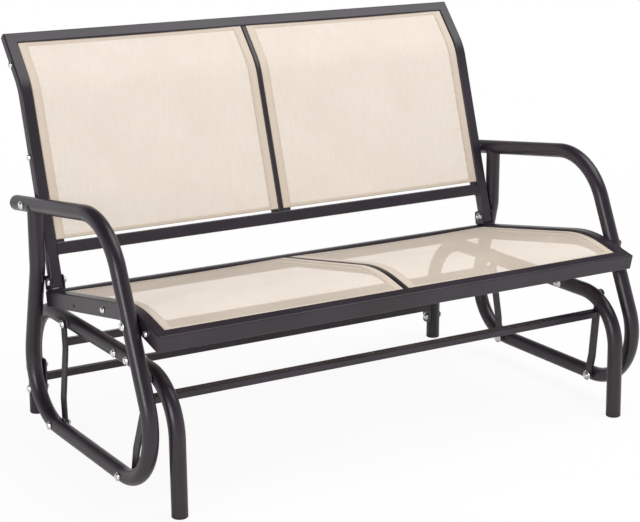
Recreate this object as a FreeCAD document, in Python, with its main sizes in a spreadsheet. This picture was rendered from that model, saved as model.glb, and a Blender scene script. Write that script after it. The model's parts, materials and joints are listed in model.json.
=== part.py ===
"""Glider bench for two: a steel tube base, four hanger links, and a swinging seat with slings.

Frame: +Z is up, +X is to the right of someone who faces the bench, and the bench's front looks
along -Y. The origin is on the floor, under the middle of the whole bench. Sizes are millimetres.
Y sizes in the sheet are measured from the middle between the feet, with the front negative.
"""
import FreeCAD, Part
import math
import os
import re
import Sketcher
from FreeCAD import Placement, Rotation, Vector

SIZES = {
    # The whole bench
    "feet_middle_y": (-8.42, "middle between the feet, measured from the origin"),
    "tube_diameter": (32.0, "round tube of the base and the arm loops"),
    "tube_wall": (1.5, "wall of the round tube"),
    "body_gap": (0.4, "clearance between pieces that move past each other"),
    "seat_gap": (0.2, "clearance between pieces that are bolted together"),
    # Fasteners
    "bolt_diameter": (8.0, "every bolt of the frame"),
    "bolt_hole_gap": (0.25, "radial clearance of a bolt in its hole"),
    "bolt_end": (2.0, "length of bolt past its nut"),
    "joint_bolt_end": (5.0, "length of a base joint's bolt past its nut"),
    "boss_diameter": (12.0, "threaded boss welded into a base tube's outer wall"),
    "boss_length": (12.0, "that boss from end to end"),
    "head_across": (13.0, "bolt head across flats"),
    "head_depth": (4.5, "bolt head along the bolt"),
    "nut_depth": (6.0, "nut along the bolt"),
    "screw_diameter": (6.0, "screws that hold the sling bars"),
    "screw_head_across": (11.0, "screw head across flats"),
    # Base arches
    "base_half_width": (529.0, "middle plane of a base arch from the centre"),
    "foot_half_depth": (340.5, "foot from the middle between the feet"),
    "arch_front_y": (-334.5, "corner of the arch above the front foot"),
    "arch_rear_y": (339.5, "corner of the arch above the rear foot"),
    "arch_height": (259.0, "axis of the arch's top rail above the floor"),
    "arch_front_bend": (110.0, "bend radius of the arch's front corner"),
    "arch_rear_bend": (122.0, "bend radius of the arch's rear corner"),
    "foot_plug_flange": (4.0, "thickness of a foot plug under the tube"),
    "foot_plug_trim": (1.0, "longest bit trimmed off under a foot plug, level with the floor"),
    "plug_flange": (3.0, "thickness of an armrest plug outside the tube"),
    "plug_depth": (16.0, "length of a plug inside the tube"),
    "plug_slack": (0.5, "radial slack of a plug in its tube"),
    "joint_y": (-130.0, "seam between the arch's front and rear tubes"),
    "joint_bolt_spacing": (56.0, "the two bolts of the arch's joint"),
    "sleeve_length": (110.0, "sleeve inside the arch's joint"),
    # Rear stretcher
    "stretcher_width": (16.0, "square tube of the stretcher and the hanger bars"),
    "stretcher_wall": (1.2, "wall of that square tube"),
    "stretcher_y": (334.0, "axis of the stretcher"),
    "stretcher_height": (81.0, "axis of the stretcher above the floor"),
    "plate_thickness": (4.0, "end plate of the stretcher"),
    "plate_width": (30.0, "end plate from front to back"),
    "plate_length": (80.0, "end plate from top to bottom"),
    "plate_bolt_spacing": (50.0, "the two bolts of an end plate"),
    # Hangers
    "rear_top_y": (128.4, "top pivot of the rear hanger"),
    "rear_bottom_y": (112.2, "bottom pivot of the rear hanger"),
    "front_top_y": (-259.0, "top pivot of the front hanger, in the arch's bend"),
    "front_bottom_y": (-215.6, "bottom pivot of the front hanger"),
    "link_thickness": (5.0, "flat bar of a link"),
    "link_width": (20.0, "flat bar of a link"),
    "link_straight": (52.0, "straight end of a link, from its pivot to the joggle"),
    "link_bend": (30.0, "bend radius of the joggle"),
    "bush_flange": (1.0, "thickness of a pivot bush's flange"),
    "bush_flange_diameter": (19.0, "flange of a pivot bush"),
    "bush_diameter": (14.0, "barrel of a pivot bush"),
    "open_gap": (1.5, "radial play of the front hanger's bottom bush, the linkage's loose pivot"),
    "press_gap": (0.05, "radial clearance of a bush in its link"),
    "running_gap": (0.08, "radial clearance of a bush on its bolt"),
    "rear_bar_drop": (37.5, "rear hanger's cross bar below its top pivot"),
    "front_bar_drop": (48.0, "front hanger's cross bar below its top pivot"),
    # Arm loops
    "hanger_space": (19.5, "space between a base tube and a loop tube, where the links hang"),
    "armrest_end_y": (273.0, "rear end of the armrest tube"),
    "armrest_end_height": (489.8, "axis of the armrest at its rear end"),
    "armrest_y": (-169.0, "corner between armrest and front tube"),
    "armrest_height": (550.5, "axis of the armrest at that corner"),
    "armrest_bend": (141.0, "bend radius of the armrest"),
    "loop_front_y": (-398.8, "lower front corner of the loop"),
    "loop_height": (52.0, "axis of the loop's lower rail above the floor"),
    "loop_front_bend": (121.0, "bend radius of the lower front corner"),
    "loop_seam_straight": (2.0, "straight end of the loop's rear tube, from its seam to its bend"),
    "loop_rear_y": (242.3, "lower rear corner of the loop"),
    "loop_rear_bend": (122.0, "bend radius of the lower rear corner"),
    "upright_low_y": (218.2, "lower bend of the upright"),
    "upright_low_height": (205.2, "lower bend of the upright above the floor"),
    "upright_low_bend": (240.0, "radius of the upright's lower bend"),
    "upright_y": (179.0, "axis of the upright's vertical top"),
    "upright_high_height": (368.0, "upper bend of the upright above the floor"),
    "upright_high_bend": (80.0, "radius of the upright's upper bend"),
    "upright_weld": (444.0, "seam in the upright, below the armrest"),
    # Seat frame
    "seat_rail_width": (25.0, "side rail from side to side"),
    "seat_rail_height": (34.0, "side rail and front rail from top to bottom"),
    "rail_wall": (1.2, "wall of the seat and back rails"),
    "rail_corner": (3.0, "rounded corner of the seat and back rails"),
    "seat_rear_y": (178.0, "rear end of a side rail's top face"),
    "seat_rear_height": (320.0, "rear end of a side rail's top face"),
    "seat_peak_y": (-211.0, "bend of the seat's top face"),
    "seat_peak_height": (388.0, "bend of the seat's top face"),
    "seat_bend": (275.0, "bend radius of the seat's top face"),
    "seat_front_y": (-341.0, "front edge of the seat's top face"),
    "seat_front_height": (357.0, "front edge of the seat's top face"),
    "front_rail_depth": (25.0, "front rail from front to back"),
    "rear_rail_depth": (20.0, "rear rail from front to back"),
    "rear_rail_height": (30.0, "rear rail from top to bottom"),
    "centre_rail_width": (12.0, "centre rails of seat and back"),
    "centre_rail_height": (20.0, "seat's centre rail from top to bottom"),
    "centre_rail_drop": (4.0, "seat's centre rail below the side rails' top"),
    "seat_bolt_drop": (15.7, "bolt through the loop's front tube, below the side rail's front slope"),
    "seat_screw_rear_y": (-98.0, "rear screw of a seat sling bar"),
    "seat_screw_front_y": (-292.0, "front screw of a seat sling bar"),
    "seat_screw_drop": (19.0, "those screws below the side rail's top face"),
    "spare_hole_y": (41.0, "open hole in the side rail"),
    "spare_hole_drop": (22.0, "open hole below the side rail's top face"),
    "rail_plug_flange": (2.0, "plug outside the end of a rectangular rail"),
    "rail_plug_depth": (6.0, "plug inside the end of a rectangular rail"),
    # Back brackets
    "bracket_thickness": (3.0, "sheet of the U bracket"),
    "bracket_length": (30.0, "U bracket from front to back"),
    "bracket_height": (32.0, "ear of the U bracket"),
    "bracket_corner": (8.0, "rounded corner of an ear"),
    "bracket_bend": (3.5, "outside bend of the sheet"),
    # Back frame
    "back_rail_width": (25.0, "side rail of the back from side to side"),
    "back_rail_depth": (20.0, "rails of the back from front to back"),
    "back_foot_y": (150.5, "lower end of the back's front face"),
    "back_foot_height": (334.0, "lower end of the back's front face"),
    "back_bend_y": (277.3, "bend of the back's front face"),
    "back_bend_height": (734.1, "bend of the back's front face"),
    "back_bend": (120.0, "bend radius of the back's front face"),
    "back_head_run": (82.1, "top edge of the back behind its bend"),
    "back_head_rise": (95.7, "top edge of the back above its bend"),
    "cross_rail_height": (25.0, "top and bottom rails of the back"),
    "bottom_rail_height": (419.3, "top edge of the back's bottom rail"),
    "back_centre_depth": (16.0, "back's centre rail from front to back"),
    "back_centre_drop": (2.0, "back's centre rail behind the side rails' front"),
    "foot_bolt_rise": (12.0, "bolt of the back above its rail's lower end"),
    "back_screw_low_drop": (142.5, "lower screw of a back bar below the back's bend"),
    "back_screw_high_drop": (52.7, "upper screw of a back bar below the back's top edge"),
    "back_screw_depth": (13.0, "those screws behind the side rail's front face"),
    # Slings
    "sling_thickness": (1.2, "woven sling with its coating"),
    "seat_sling_drop": (5.0, "seat sling below the side rails' top face"),
    "back_sling_drop": (2.0, "back sling behind the side rails' front face"),
    "bar_width": (18.0, "flat bar in a sling's side hem"),
    "bar_thickness": (3.0, "flat bar in a sling's side hem"),
    "tab_thickness": (3.0, "tab on a sling bar, beside the rail"),
    "seat_tab_depth": (15.0, "tab of a seat bar, from the bar to the tab's edge"),
    "back_tab_depth": (11.0, "tab of a back bar, from the bar to the tab's edge"),
    "tab_length": (18.0, "tab of a sling bar, along the rail"),
    "back_sling_gap": (6.0, "back slings above the bottom rail"),
}

doc = FreeCAD.newDocument("glider_bench")
sheet = doc.addObject("Spreadsheet::Sheet", "sizes")


def fill_sheet():
    """Write each driving size to a cell of its own, with its name as the cell's alias."""
    for row, (name, (value, note)) in enumerate(SIZES.items(), start=1):
        sheet.set(f"A{row}", note)
        sheet.set(f"B{row}", str(value))
        sheet.setAlias(f"B{row}", name)
    doc.recompute()


def bound(expression):
    """The expression with each size named as a cell of the sheet."""
    return re.sub(r"[a-z_]+", lambda m: "sizes." + m[0] if m[0] in SIZES else m[0], expression)


def number(expression):
    """What an expression of sizes comes to, in millimetres or degrees."""
    result = sheet.evalExpression(bound(expression))
    return float(getattr(result, "Value", result))


# Sketches and bodies

def new_body(name, x="0", y="0", z="0", turn="0"):
    """An empty body, placed at x, y, z and turned about the X axis."""
    body = doc.addObject("PartDesign::Body", name)
    body.Label = name
    place(body, x, y, z, turn)
    return body


def place(thing, x, y, z, turn="0", axis="1; 0; 0"):
    """Bind the place of an object; y counts from the middle between the feet."""
    spot = f"vector({x}; {y} + feet_middle_y; {z})"
    thing.setExpression("Placement", bound(f"placement({spot}; rotation(vector({axis}); {turn}))"))


def new_sketch(body, name, role, offset=None):
    """A sketch on one of the body's origin planes, moved by an offset in that plane's own frame."""
    sketch = body.newObject("Sketcher::SketchObject", name)
    plane = [item for item in body.Origin.OriginFeatures if item.Role == role][0]
    sketch.AttachmentSupport = [(plane, "")]
    sketch.MapMode = "FlatFace"
    if offset:
        sketch.setExpression("AttachmentOffset", bound(offset))
    return sketch


def hold(sketch, kind, *where, size):
    """Add a driving constraint whose value is an expression of sizes."""
    value = number(size)
    if kind in ("Radius", "Diameter"):
        index = sketch.addConstraint(Sketcher.Constraint(kind, *where, value))
    else:
        index = sketch.addConstraint(Sketcher.Constraint(kind, -1, 1, *where, value))
    sketch.setExpression(f"Constraints[{index}]", bound(size))


def pin(sketch, geometry, point, across, up):
    """Hold one point of the sketch at two coordinates."""
    hold(sketch, "DistanceX", geometry, point, size=across)
    hold(sketch, "DistanceY", geometry, point, size=up)


def add_circle(sketch, across, up, radius):
    """A circle held by its centre and its radius."""
    centre = Vector(number(across), number(up), 0)
    circle = sketch.addGeometry(Part.Circle(centre, Vector(0, 0, 1), number(radius)))
    pin(sketch, circle, 3, across, up)
    hold(sketch, "Radius", circle, size=radius)


def add_polygon(sketch, corners):
    """A closed outline of straight lines through corners given as pairs of expressions."""
    points = [Vector(number(across), number(up), 0) for across, up in corners]
    lines = []
    for start, end in zip(points, points[1:] + points[:1]):
        lines.append(sketch.addGeometry(Part.LineSegment(start, end)))
    for line, following, (across, up) in zip(lines, lines[1:] + lines[:1], corners[1:] + corners[:1]):
        sketch.addConstraint(Sketcher.Constraint("Coincident", line, 2, following, 1))
        pin(sketch, following, 1, across, up)


def add_bent_line(sketch, corners, bends, closed=False):
    """Straight lines through the corners, with a tangent arc of a given radius at each bend.

    corners are pairs of expressions and bends are radii: one for each inner corner, or one for
    every corner where the line is closed.
    """
    points = [Vector(number(across), number(up), 0) for across, up in corners]
    count = len(points)
    bent = range(count) if closed else range(1, count - 1)
    arcs = {}
    for corner, bend in zip(bent, bends):
        point = points[corner]
        back = (points[corner - 1] - point).normalize()
        ahead = (points[(corner + 1) % count] - point).normalize()
        half = back.getAngle(ahead) / 2
        radius = number(bend)
        middle = point + (back + ahead).normalize() * (radius / math.sin(half))
        first = point + back * (radius / math.tan(half))
        last = point + ahead * (radius / math.tan(half))
        left_turn = (point - first).cross(last - point).z > 0
        arcs[corner] = (first, last, middle, radius, left_turn, bend)
    lines = {}
    for corner in range(count if closed else count - 1):
        following = (corner + 1) % count
        start = arcs[corner][1] if corner in arcs else points[corner]
        end = arcs[following][0] if following in arcs else points[following]
        lines[corner] = sketch.addGeometry(Part.LineSegment(start, end))
    for corner, (first, last, middle, radius, left_turn, bend) in arcs.items():
        ends = [first, last] if left_turn else [last, first]
        angles = [math.atan2(end.y - middle.y, end.x - middle.x) for end in ends]
        circle = Part.Circle(middle, Vector(0, 0, 1), radius)
        arc = sketch.addGeometry(Part.ArcOfCircle(circle, *angles))
        mark = sketch.addGeometry(Part.Point(points[corner]), True)
        before = lines[(corner - 1) % count]
        after = lines[corner]
        enter, leave = (1, 2) if left_turn else (2, 1)
        sketch.addConstraint(Sketcher.Constraint("Tangent", before, 2, arc, enter))
        sketch.addConstraint(Sketcher.Constraint("Tangent", arc, leave, after, 1))
        sketch.addConstraint(Sketcher.Constraint("PointOnObject", mark, 1, before))
        sketch.addConstraint(Sketcher.Constraint("PointOnObject", mark, 1, after))
        pin(sketch, mark, 1, *corners[corner])
        hold(sketch, "Radius", arc, size=bend)
    if not closed:
        pin(sketch, lines[0], 1, *corners[0])
        pin(sketch, lines[count - 2], 2, *corners[-1])


def add_rounded_box(sketch, left, right, low, high, corner):
    """A rectangle with four rounded corners."""
    corners = [(left, low), (right, low), (right, high), (left, high)]
    add_bent_line(sketch, corners, [corner] * 4, closed=True)


def add_box_ring(sketch, left, right, low, high, wall, corner):
    """The section of a rectangular tube with rounded corners."""
    add_rounded_box(sketch, left, right, low, high, corner)
    inside = [f"{left} + {wall}", f"{right} - {wall}", f"{low} + {wall}", f"{high} - {wall}"]
    add_rounded_box(sketch, *inside, f"{corner} - {wall}")


def start_offset(corners, spin):
    """Where a section is drawn: at the line's first corner, square to its first run."""
    (across, up), (next_across, next_up) = corners[:2]
    turn = f"-atan2({next_up} - ({up}); {across} - ({next_across}))"
    turned = f"rotation(vector(1; 0; 0); {turn}) * rotation(vector(0; 0; 1); {spin})"
    return f"placement(vector(0; {up}; -({across})); {turned})"


def sweep(body, name, corners, bends, draw_section, kind="PartDesign::AdditivePipe", spin="0"):
    """Sweep a section along a bent line in the body's YZ plane.

    In the section's own frame X is the body's X, and Y is on the left of the line's direction
    as seen from +X, so a line that runs to the front has its upper side at +Y. A round section
    has spin 90, so that the seam of its faces keeps clear of the holes along X.
    """
    path = new_sketch(body, name + "_path", "YZ_Plane")
    add_bent_line(path, corners, bends)
    section = new_sketch(body, name + "_section", "XZ_Plane", start_offset(corners, spin))
    draw_section(section)
    doc.recompute()
    pipe = body.newObject(kind, name)
    pipe.Profile = section
    pipe.Spine = path
    doc.recompute()
    return pipe


def draw_tube(section):
    """The ring of the round tube."""
    add_circle(section, "0", "0", "tube_diameter / 2")
    add_circle(section, "0", "0", "tube_diameter / 2 - tube_wall")


def draw_tube_outside(section):
    """The full round of the tube, for coping a piece that is welded to it."""
    add_circle(section, "0", "0", "tube_diameter / 2")


def cut_across(body, name, spots, radius):
    """Drill holes along X through the whole body at pairs of Y and Z."""
    sketch = new_sketch(body, name + "_sketch", "YZ_Plane")
    for across, up in spots:
        add_circle(sketch, across, up, radius)
    return pocket_through(body, name, sketch)


def pocket_through(body, name, sketch):
    """Cut the sketch through the body in both directions."""
    doc.recompute()
    pocket = body.newObject("PartDesign::Pocket", name)
    pocket.Profile = sketch
    pocket.Type = "ThroughAll"
    pocket.Midplane = True
    doc.recompute()
    return pocket


def drill_outwards(body, name, spot, radius):
    """Drill one hole along X from the body's YZ plane outwards, through the outer wall alone."""
    sketch = new_sketch(body, name + "_sketch", "YZ_Plane")
    add_circle(sketch, *spot, radius)
    doc.recompute()
    pocket = body.newObject("PartDesign::Pocket", name)
    pocket.Profile = sketch
    pocket.Type = "ThroughAll"
    pocket.Reversed = True
    doc.recompute()
    return pocket


def pad(body, name, sketch, length, both_ways=True):
    """Pad a sketch by a bound length, to both sides of its plane by default."""
    doc.recompute()
    solid = body.newObject("PartDesign::Pad", name)
    solid.Profile = sketch
    solid.Midplane = both_ways
    solid.setExpression("Length", bound(length))
    doc.recompute()
    return solid


def mirrored(source, name):
    """The left-hand piece: the right-hand one mirrored in the plane X = 0."""
    copy = doc.addObject("Part::Mirroring", name)
    copy.Label = name
    copy.Source = source
    copy.Base = Vector(0, 0, 0)
    copy.Normal = Vector(1, 0, 0)
    return copy


def pair(build, name):
    """A right-hand piece and its mirror image, as two nodes."""
    right = build(name + "_right")
    return [right, mirrored(right, name + "_left")]


def group(name, pieces):
    """Separate solids that share one node."""
    bundle = doc.addObject("Part::Compound", name)
    bundle.Label = name
    bundle.Links = pieces
    return bundle


def both_sides(name, pieces):
    """A node with the given right-hand solids and their mirror images."""
    right = group(name + "_on_the_right", pieces)
    return group(name, [right, mirrored(right, name + "_on_the_left")])


# Primitives along X

def rod(name, radius, x, y, z, length):
    """A round bar that runs outwards along X from x."""
    bar = doc.addObject("Part::Cylinder", name)
    bar.setExpression("Radius", bound(radius))
    bar.setExpression("Height", bound(length))
    place(bar, x, y, z, "90", "0; 1; 0")
    return bar


def hexagon(name, across, x, y, z, length):
    """A hexagonal bar that runs outwards along X from x."""
    bar = doc.addObject("Part::Prism", name)
    bar.Polygon = 6
    bar.setExpression("Circumradius", bound(f"({across}) / 2 / cos(30)"))
    bar.setExpression("Height", bound(length))
    place(bar, x, y, z, "90", "0; 1; 0")
    return bar


def fuse(name, pieces):
    """Several primitives as one solid."""
    whole = doc.addObject("Part::MultiFuse", name)
    whole.Label = name
    whole.Shapes = pieces
    return whole


def cut(name, base, tool):
    """One object with another taken away."""
    rest = doc.addObject("Part::Cut", name)
    rest.Label = name
    rest.Base = base
    rest.Tool = tool
    return rest


def bolt(name, spot, outer, inner, diameter="bolt_diameter", across="head_across"):
    """A bolt along X: its head's seat is at outer and its tip at inner."""
    y, z = spot
    shank = rod(name + "_shank", f"({diameter}) / 2", inner, y, z, f"({outer}) - ({inner})")
    head = hexagon(name + "_head", across, outer, y, z, "head_depth")
    return fuse(name, [shank, head])


def nut(name, spot, face, diameter="bolt_diameter", across="head_across"):
    """A nut along X whose outer face is at the given X."""
    y, z = spot
    body = hexagon(name + "_body", across, f"({face}) - nut_depth", y, z, "nut_depth")
    bore = rod(name + "_bore", f"({diameter}) / 2 + running_gap", f"({face}) - nut_depth", y, z, "nut_depth")
    return cut(name, body, bore)


# Sizes that follow from the driving ones

BASE_OUTER = "(base_half_width + tube_diameter / 2)"
BASE_INNER = "(base_half_width - tube_diameter / 2)"
LOOP_INNER = f"({BASE_OUTER} + hanger_space)"
LOOP_MIDDLE = f"({LOOP_INNER} + tube_diameter / 2)"
LOOP_OUTER = f"({LOOP_INNER} + tube_diameter)"
HOLE = "bolt_diameter / 2 + bolt_hole_gap"

# The front bend's centre, and the height of its centre line at the front hanger's pivot
FRONT_LEG_TURN = "atan2(arch_height - foot_plug_flange; arch_front_y + foot_half_depth)"
FRONT_BEND_Y = f"(arch_front_y + arch_front_bend * tan({FRONT_LEG_TURN} / 2))"
FRONT_TOP_Z = (f"(arch_height - arch_front_bend"
               f" + sqrt(pow(arch_front_bend; 2) - pow({FRONT_BEND_Y} - front_top_y; 2)))")

REAR_TOP = ("rear_top_y", "arch_height")
REAR_BOTTOM = ("rear_bottom_y", "loop_height")
FRONT_TOP = ("front_top_y", FRONT_TOP_Z)
FRONT_BOTTOM = ("front_bottom_y", "loop_height")
JOINT_BOLTS = [
    ("joint_y - joint_bolt_spacing / 2", "arch_height"),
    ("joint_y + joint_bolt_spacing / 2", "arch_height"),
]

# Across the top pivot, outwards: base tube, bush flange, link, end of the bush, bolt head
LINK_TOP_X = f"({BASE_OUTER} + body_gap + bush_flange)"
TOP_HEAD_X = f"({LINK_TOP_X} + link_thickness + 2 * body_gap)"
# Across the bottom pivot, inwards: loop tube, bush flange, link, end of the bush, nut
LINK_BOTTOM_X = f"({LOOP_INNER} - body_gap - bush_flange - link_thickness)"
BOTTOM_NUT_X = f"({LINK_BOTTOM_X} - 2 * body_gap)"
JOGGLE = f"({LINK_BOTTOM_X} - {LINK_TOP_X})"

# The armrest falls to the rear at this angle, and these are places on its axis
ARMREST_TURN = "atan2(armrest_height - armrest_end_height; armrest_end_y - armrest_y)"
FRONT_TUBE_RUN = "(armrest_y - loop_front_y) / (armrest_height - loop_height)"

# Seat: the slopes of the top face behind and before its bend
SEAT_OUTER = f"({LOOP_INNER} - seat_gap)"
SEAT_INNER = f"({SEAT_OUTER} - seat_rail_width)"
SEAT_TURN = "atan2(seat_peak_height - seat_rear_height; seat_rear_y - seat_peak_y)"
FRONT_TURN = "atan2(seat_peak_height - seat_front_height; seat_peak_y - seat_front_y)"

# The seat bolt is where the front tube's axis crosses a line below the side rail's front slope
SEAT_BOLT_Y = (f"((loop_front_y + (seat_front_height - seat_front_y * tan({FRONT_TURN}) - seat_bolt_drop"
               f" - loop_height) * {FRONT_TUBE_RUN}) / (1 - {FRONT_TUBE_RUN} * tan({FRONT_TURN})))")
SEAT_BOLT = (SEAT_BOLT_Y, f"loop_height + ({SEAT_BOLT_Y} - loop_front_y) / ({FRONT_TUBE_RUN})")
SEAT_REAR = ("seat_rear_y", "seat_rear_height")
SEAT_PEAK = ("seat_peak_y", "seat_peak_height")
SEAT_FRONT = ("seat_front_y", "seat_front_height")

# Back: the slope of its lower part from the vertical, and its side rails' planes
BACK_OUTER = f"({SEAT_OUTER} - bracket_thickness - seat_gap)"
BACK_INNER = f"({BACK_OUTER} - back_rail_width)"
BACK_TURN = "atan2(back_bend_y - back_foot_y; back_bend_height - back_foot_height)"
HEAD_TURN = "atan2(back_head_run; back_head_rise)"
BACK_FOOT = ("back_foot_y", "back_foot_height")
BACK_BEND = ("back_bend_y", "back_bend_height")
BACK_TOP = ("back_bend_y + back_head_run", "back_bend_height + back_head_rise")


def along(start, turn, distance, depth="0"):
    """A place at a distance along a slope that falls to the front, and a depth square below it.

    turn is the angle from -Y upwards, so 0 runs level to the front.
    """
    y, z = start
    return (f"{y} - ({distance}) * cos({turn}) - ({depth}) * sin({turn})",
            f"{z} + ({distance}) * sin({turn}) - ({depth}) * cos({turn})")


def up_the_back(height, depth):
    """A place on the straight lower part of the back, at a height and a depth behind its front."""
    return (f"back_foot_y + ({height} - back_foot_height) * tan({BACK_TURN}) + ({depth}) / cos({BACK_TURN})",
            f"({height})")


def up_the_head(height):
    """A place on the front face of the back, above its bend, at a height."""
    return f"back_bend_y + ({height} - back_bend_height) * tan({HEAD_TURN})", f"({height})"


def up_slope(start, turn, distance):
    """A place moved up along a face that leans back by turn."""
    y, z = start
    return f"{y} + ({distance}) * sin({turn})", f"{z} + ({distance}) * cos({turn})"


def behind(start, turn, depth):
    """A place moved square behind a face that leans back by turn."""
    y, z = start
    return f"{y} + ({depth}) * cos({turn})", f"{z} - ({depth}) * sin({turn})"


FOOT_BOLT = (f"back_foot_y + foot_bolt_rise * sin({BACK_TURN}) + back_rail_depth / 2 * cos({BACK_TURN})",
             f"back_foot_height + foot_bolt_rise * cos({BACK_TURN})"
             f" - back_rail_depth / 2 * sin({BACK_TURN})")
ARMREST_BOLT_Z = (f"(armrest_end_height + (armrest_end_y - back_foot_y"
                  f" - back_rail_depth / 2 / cos({BACK_TURN}) + back_foot_height * tan({BACK_TURN})"
                  f" - armrest_end_height * tan({BACK_TURN})) * tan({ARMREST_TURN})"
                  f" / (1 + tan({ARMREST_TURN}) * tan({BACK_TURN})))")
ARMREST_BOLT = up_the_back(ARMREST_BOLT_Z, "back_rail_depth / 2")

# The lines that the centre rails, the hem bars and the slings follow
NOSE_END = (f"seat_front_y + (front_rail_depth + seat_gap) * cos({FRONT_TURN})",
            f"seat_front_height + (front_rail_depth + seat_gap) * sin({FRONT_TURN})")
SEAT_SLING_LINE = [along(SEAT_REAR, SEAT_TURN, "rear_rail_depth + seat_gap"), SEAT_PEAK, NOSE_END]
BACK_LOW = up_the_back("bottom_rail_height", "0")
BACK_LINE_END = up_slope(BACK_TOP, HEAD_TURN, "-(cross_rail_height + seat_gap)")
BACK_LINE = [up_slope(BACK_LOW, BACK_TURN, "seat_gap"), BACK_BEND, BACK_LINE_END]
BACK_SLING_LINE = [up_slope(BACK_LOW, BACK_TURN, "back_sling_gap"), BACK_BEND, BACK_LINE_END]
LOW_SCREW = up_the_back("back_bend_height - back_screw_low_drop", "0")
HIGH_SCREW = up_the_head("back_bend_height + back_head_rise - back_screw_high_drop")
BACK_SCREWS = [
    behind(LOW_SCREW, BACK_TURN, "back_screw_depth"),
    behind(HIGH_SCREW, HEAD_TURN, "back_screw_depth"),
]


def span(top, bottom):
    """The length of a link and its lean about X, from its two pivots."""
    across = f"({bottom[0]} - ({top[0]}))"
    down = f"({top[1]} - {bottom[1]})"
    return f"sqrt(pow({across}; 2) + pow({down}; 2))", f"atan2({across}; {down})"


def trim(body, name, left, right, low, high, corner):
    """Cut away what lies outside a rounded box in the body's YZ plane."""
    margin = "tube_diameter"
    sketch = new_sketch(body, name + "_sketch", "YZ_Plane")
    outside = [f"{left} - {margin}", f"{right} + {margin}", f"{low} - {margin}", f"{high} + {margin}"]
    add_polygon(sketch, [(outside[0], outside[2]), (outside[1], outside[2]),
                         (outside[1], outside[3]), (outside[0], outside[3])])
    add_rounded_box(sketch, left, right, low, high, corner)
    return pocket_through(body, name, sketch)


# Base

def rear_leg(height):
    """The place on a rear leg's axis at a height."""
    return (f"foot_half_depth + (arch_rear_y - foot_half_depth)"
            f" * (({height}) - foot_plug_flange) / (arch_height - foot_plug_flange)", height)


PLATE_BOLTS = [
    rear_leg("stretcher_height - plate_bolt_spacing / 2"),
    rear_leg("stretcher_height + plate_bolt_spacing / 2"),
]


def base_front_tube(name):
    """Front leg and front half of an arch's top rail."""
    body = new_body(name, "base_half_width")
    corners = [("-foot_half_depth", "foot_plug_flange"), ("arch_front_y", "arch_height"),
               ("joint_y", "arch_height")]
    sweep(body, name + "_bent_tube", corners, ["arch_front_bend"], draw_tube, spin="90")
    cut_across(body, name + "_hole", [JOINT_BOLTS[0]], HOLE)
    drill_outwards(body, name + "_pivot_hole", FRONT_TOP, "boss_diameter / 2 + press_gap")
    return body


def base_rear_tube(name):
    """Rear leg and rear half of an arch's top rail."""
    body = new_body(name, "base_half_width")
    corners = [("foot_half_depth", "foot_plug_flange"), ("arch_rear_y", "arch_height"),
               ("joint_y", "arch_height")]
    sweep(body, name + "_bent_tube", corners, ["arch_rear_bend"], draw_tube, spin="90")
    cut_across(body, name + "_holes", [JOINT_BOLTS[1]] + PLATE_BOLTS, HOLE)
    drill_outwards(body, name + "_pivot_hole", REAR_TOP, "boss_diameter / 2 + press_gap")
    return body


def joint_sleeve(name):
    """The sleeve that joins an arch's two tubes."""
    body = new_body(name, "base_half_width", "joint_y", "arch_height")
    sketch = new_sketch(body, name + "_section", "XZ_Plane")
    add_circle(sketch, "0", "0", "tube_diameter / 2 - tube_wall - seat_gap")
    add_circle(sketch, "0", "0", "tube_diameter / 2 - 2 * tube_wall - seat_gap")
    pad(body, name + "_tube", sketch, "sleeve_length")
    spots = [("-joint_bolt_spacing / 2", "0"), ("joint_bolt_spacing / 2", "0")]
    cut_across(body, name + "_holes", spots, HOLE)
    return body


def round_plug(name, flange, x, y, z, turn):
    """A plastic plug: a rounded flange at the origin and a stem that runs up into the tube."""
    body = new_body(name, x, y, z, turn)
    sketch = new_sketch(body, name + "_profile", "XZ_Plane")
    stem = "tube_diameter / 2 - tube_wall - plug_slack"
    chamfer = f"{flange} / 2"
    add_polygon(sketch, [("0", "0"), (f"tube_diameter / 2 - {chamfer}", "0"),
                         ("tube_diameter / 2", chamfer), ("tube_diameter / 2", flange),
                         (stem, flange), (stem, f"{flange} + plug_depth"), ("0", f"{flange} + plug_depth")])
    doc.recompute()
    turned = body.newObject("PartDesign::Revolution", name + "_turned")
    turned.Profile = sketch
    turned.ReferenceAxis = (sketch, ["V_Axis"])
    turned.Angle = 360
    doc.recompute()
    return body


def foot_plug(name, y, lean):
    """A plug in line with its leg, trimmed level where it stands on the floor."""
    flange = "(foot_plug_flange + foot_plug_trim)"
    body = round_plug(name, flange, "base_half_width", f"{y} - {flange} * sin({lean})",
                      f"foot_plug_flange - {flange} * cos({lean})", f"-{lean}")
    floor = new_sketch(body, name + "_floor", "YZ_Plane")
    middle = f"{flange} - foot_plug_flange / cos({lean})"
    rise = f"tube_diameter * tan({lean})"
    add_polygon(floor, [("-tube_diameter", "-tube_diameter"), ("tube_diameter", "-tube_diameter"),
                        ("tube_diameter", f"{middle} + {rise}"), ("-tube_diameter", f"{middle} - {rise}")])
    pocket_through(body, name + "_trimmed", floor)
    return body


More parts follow.
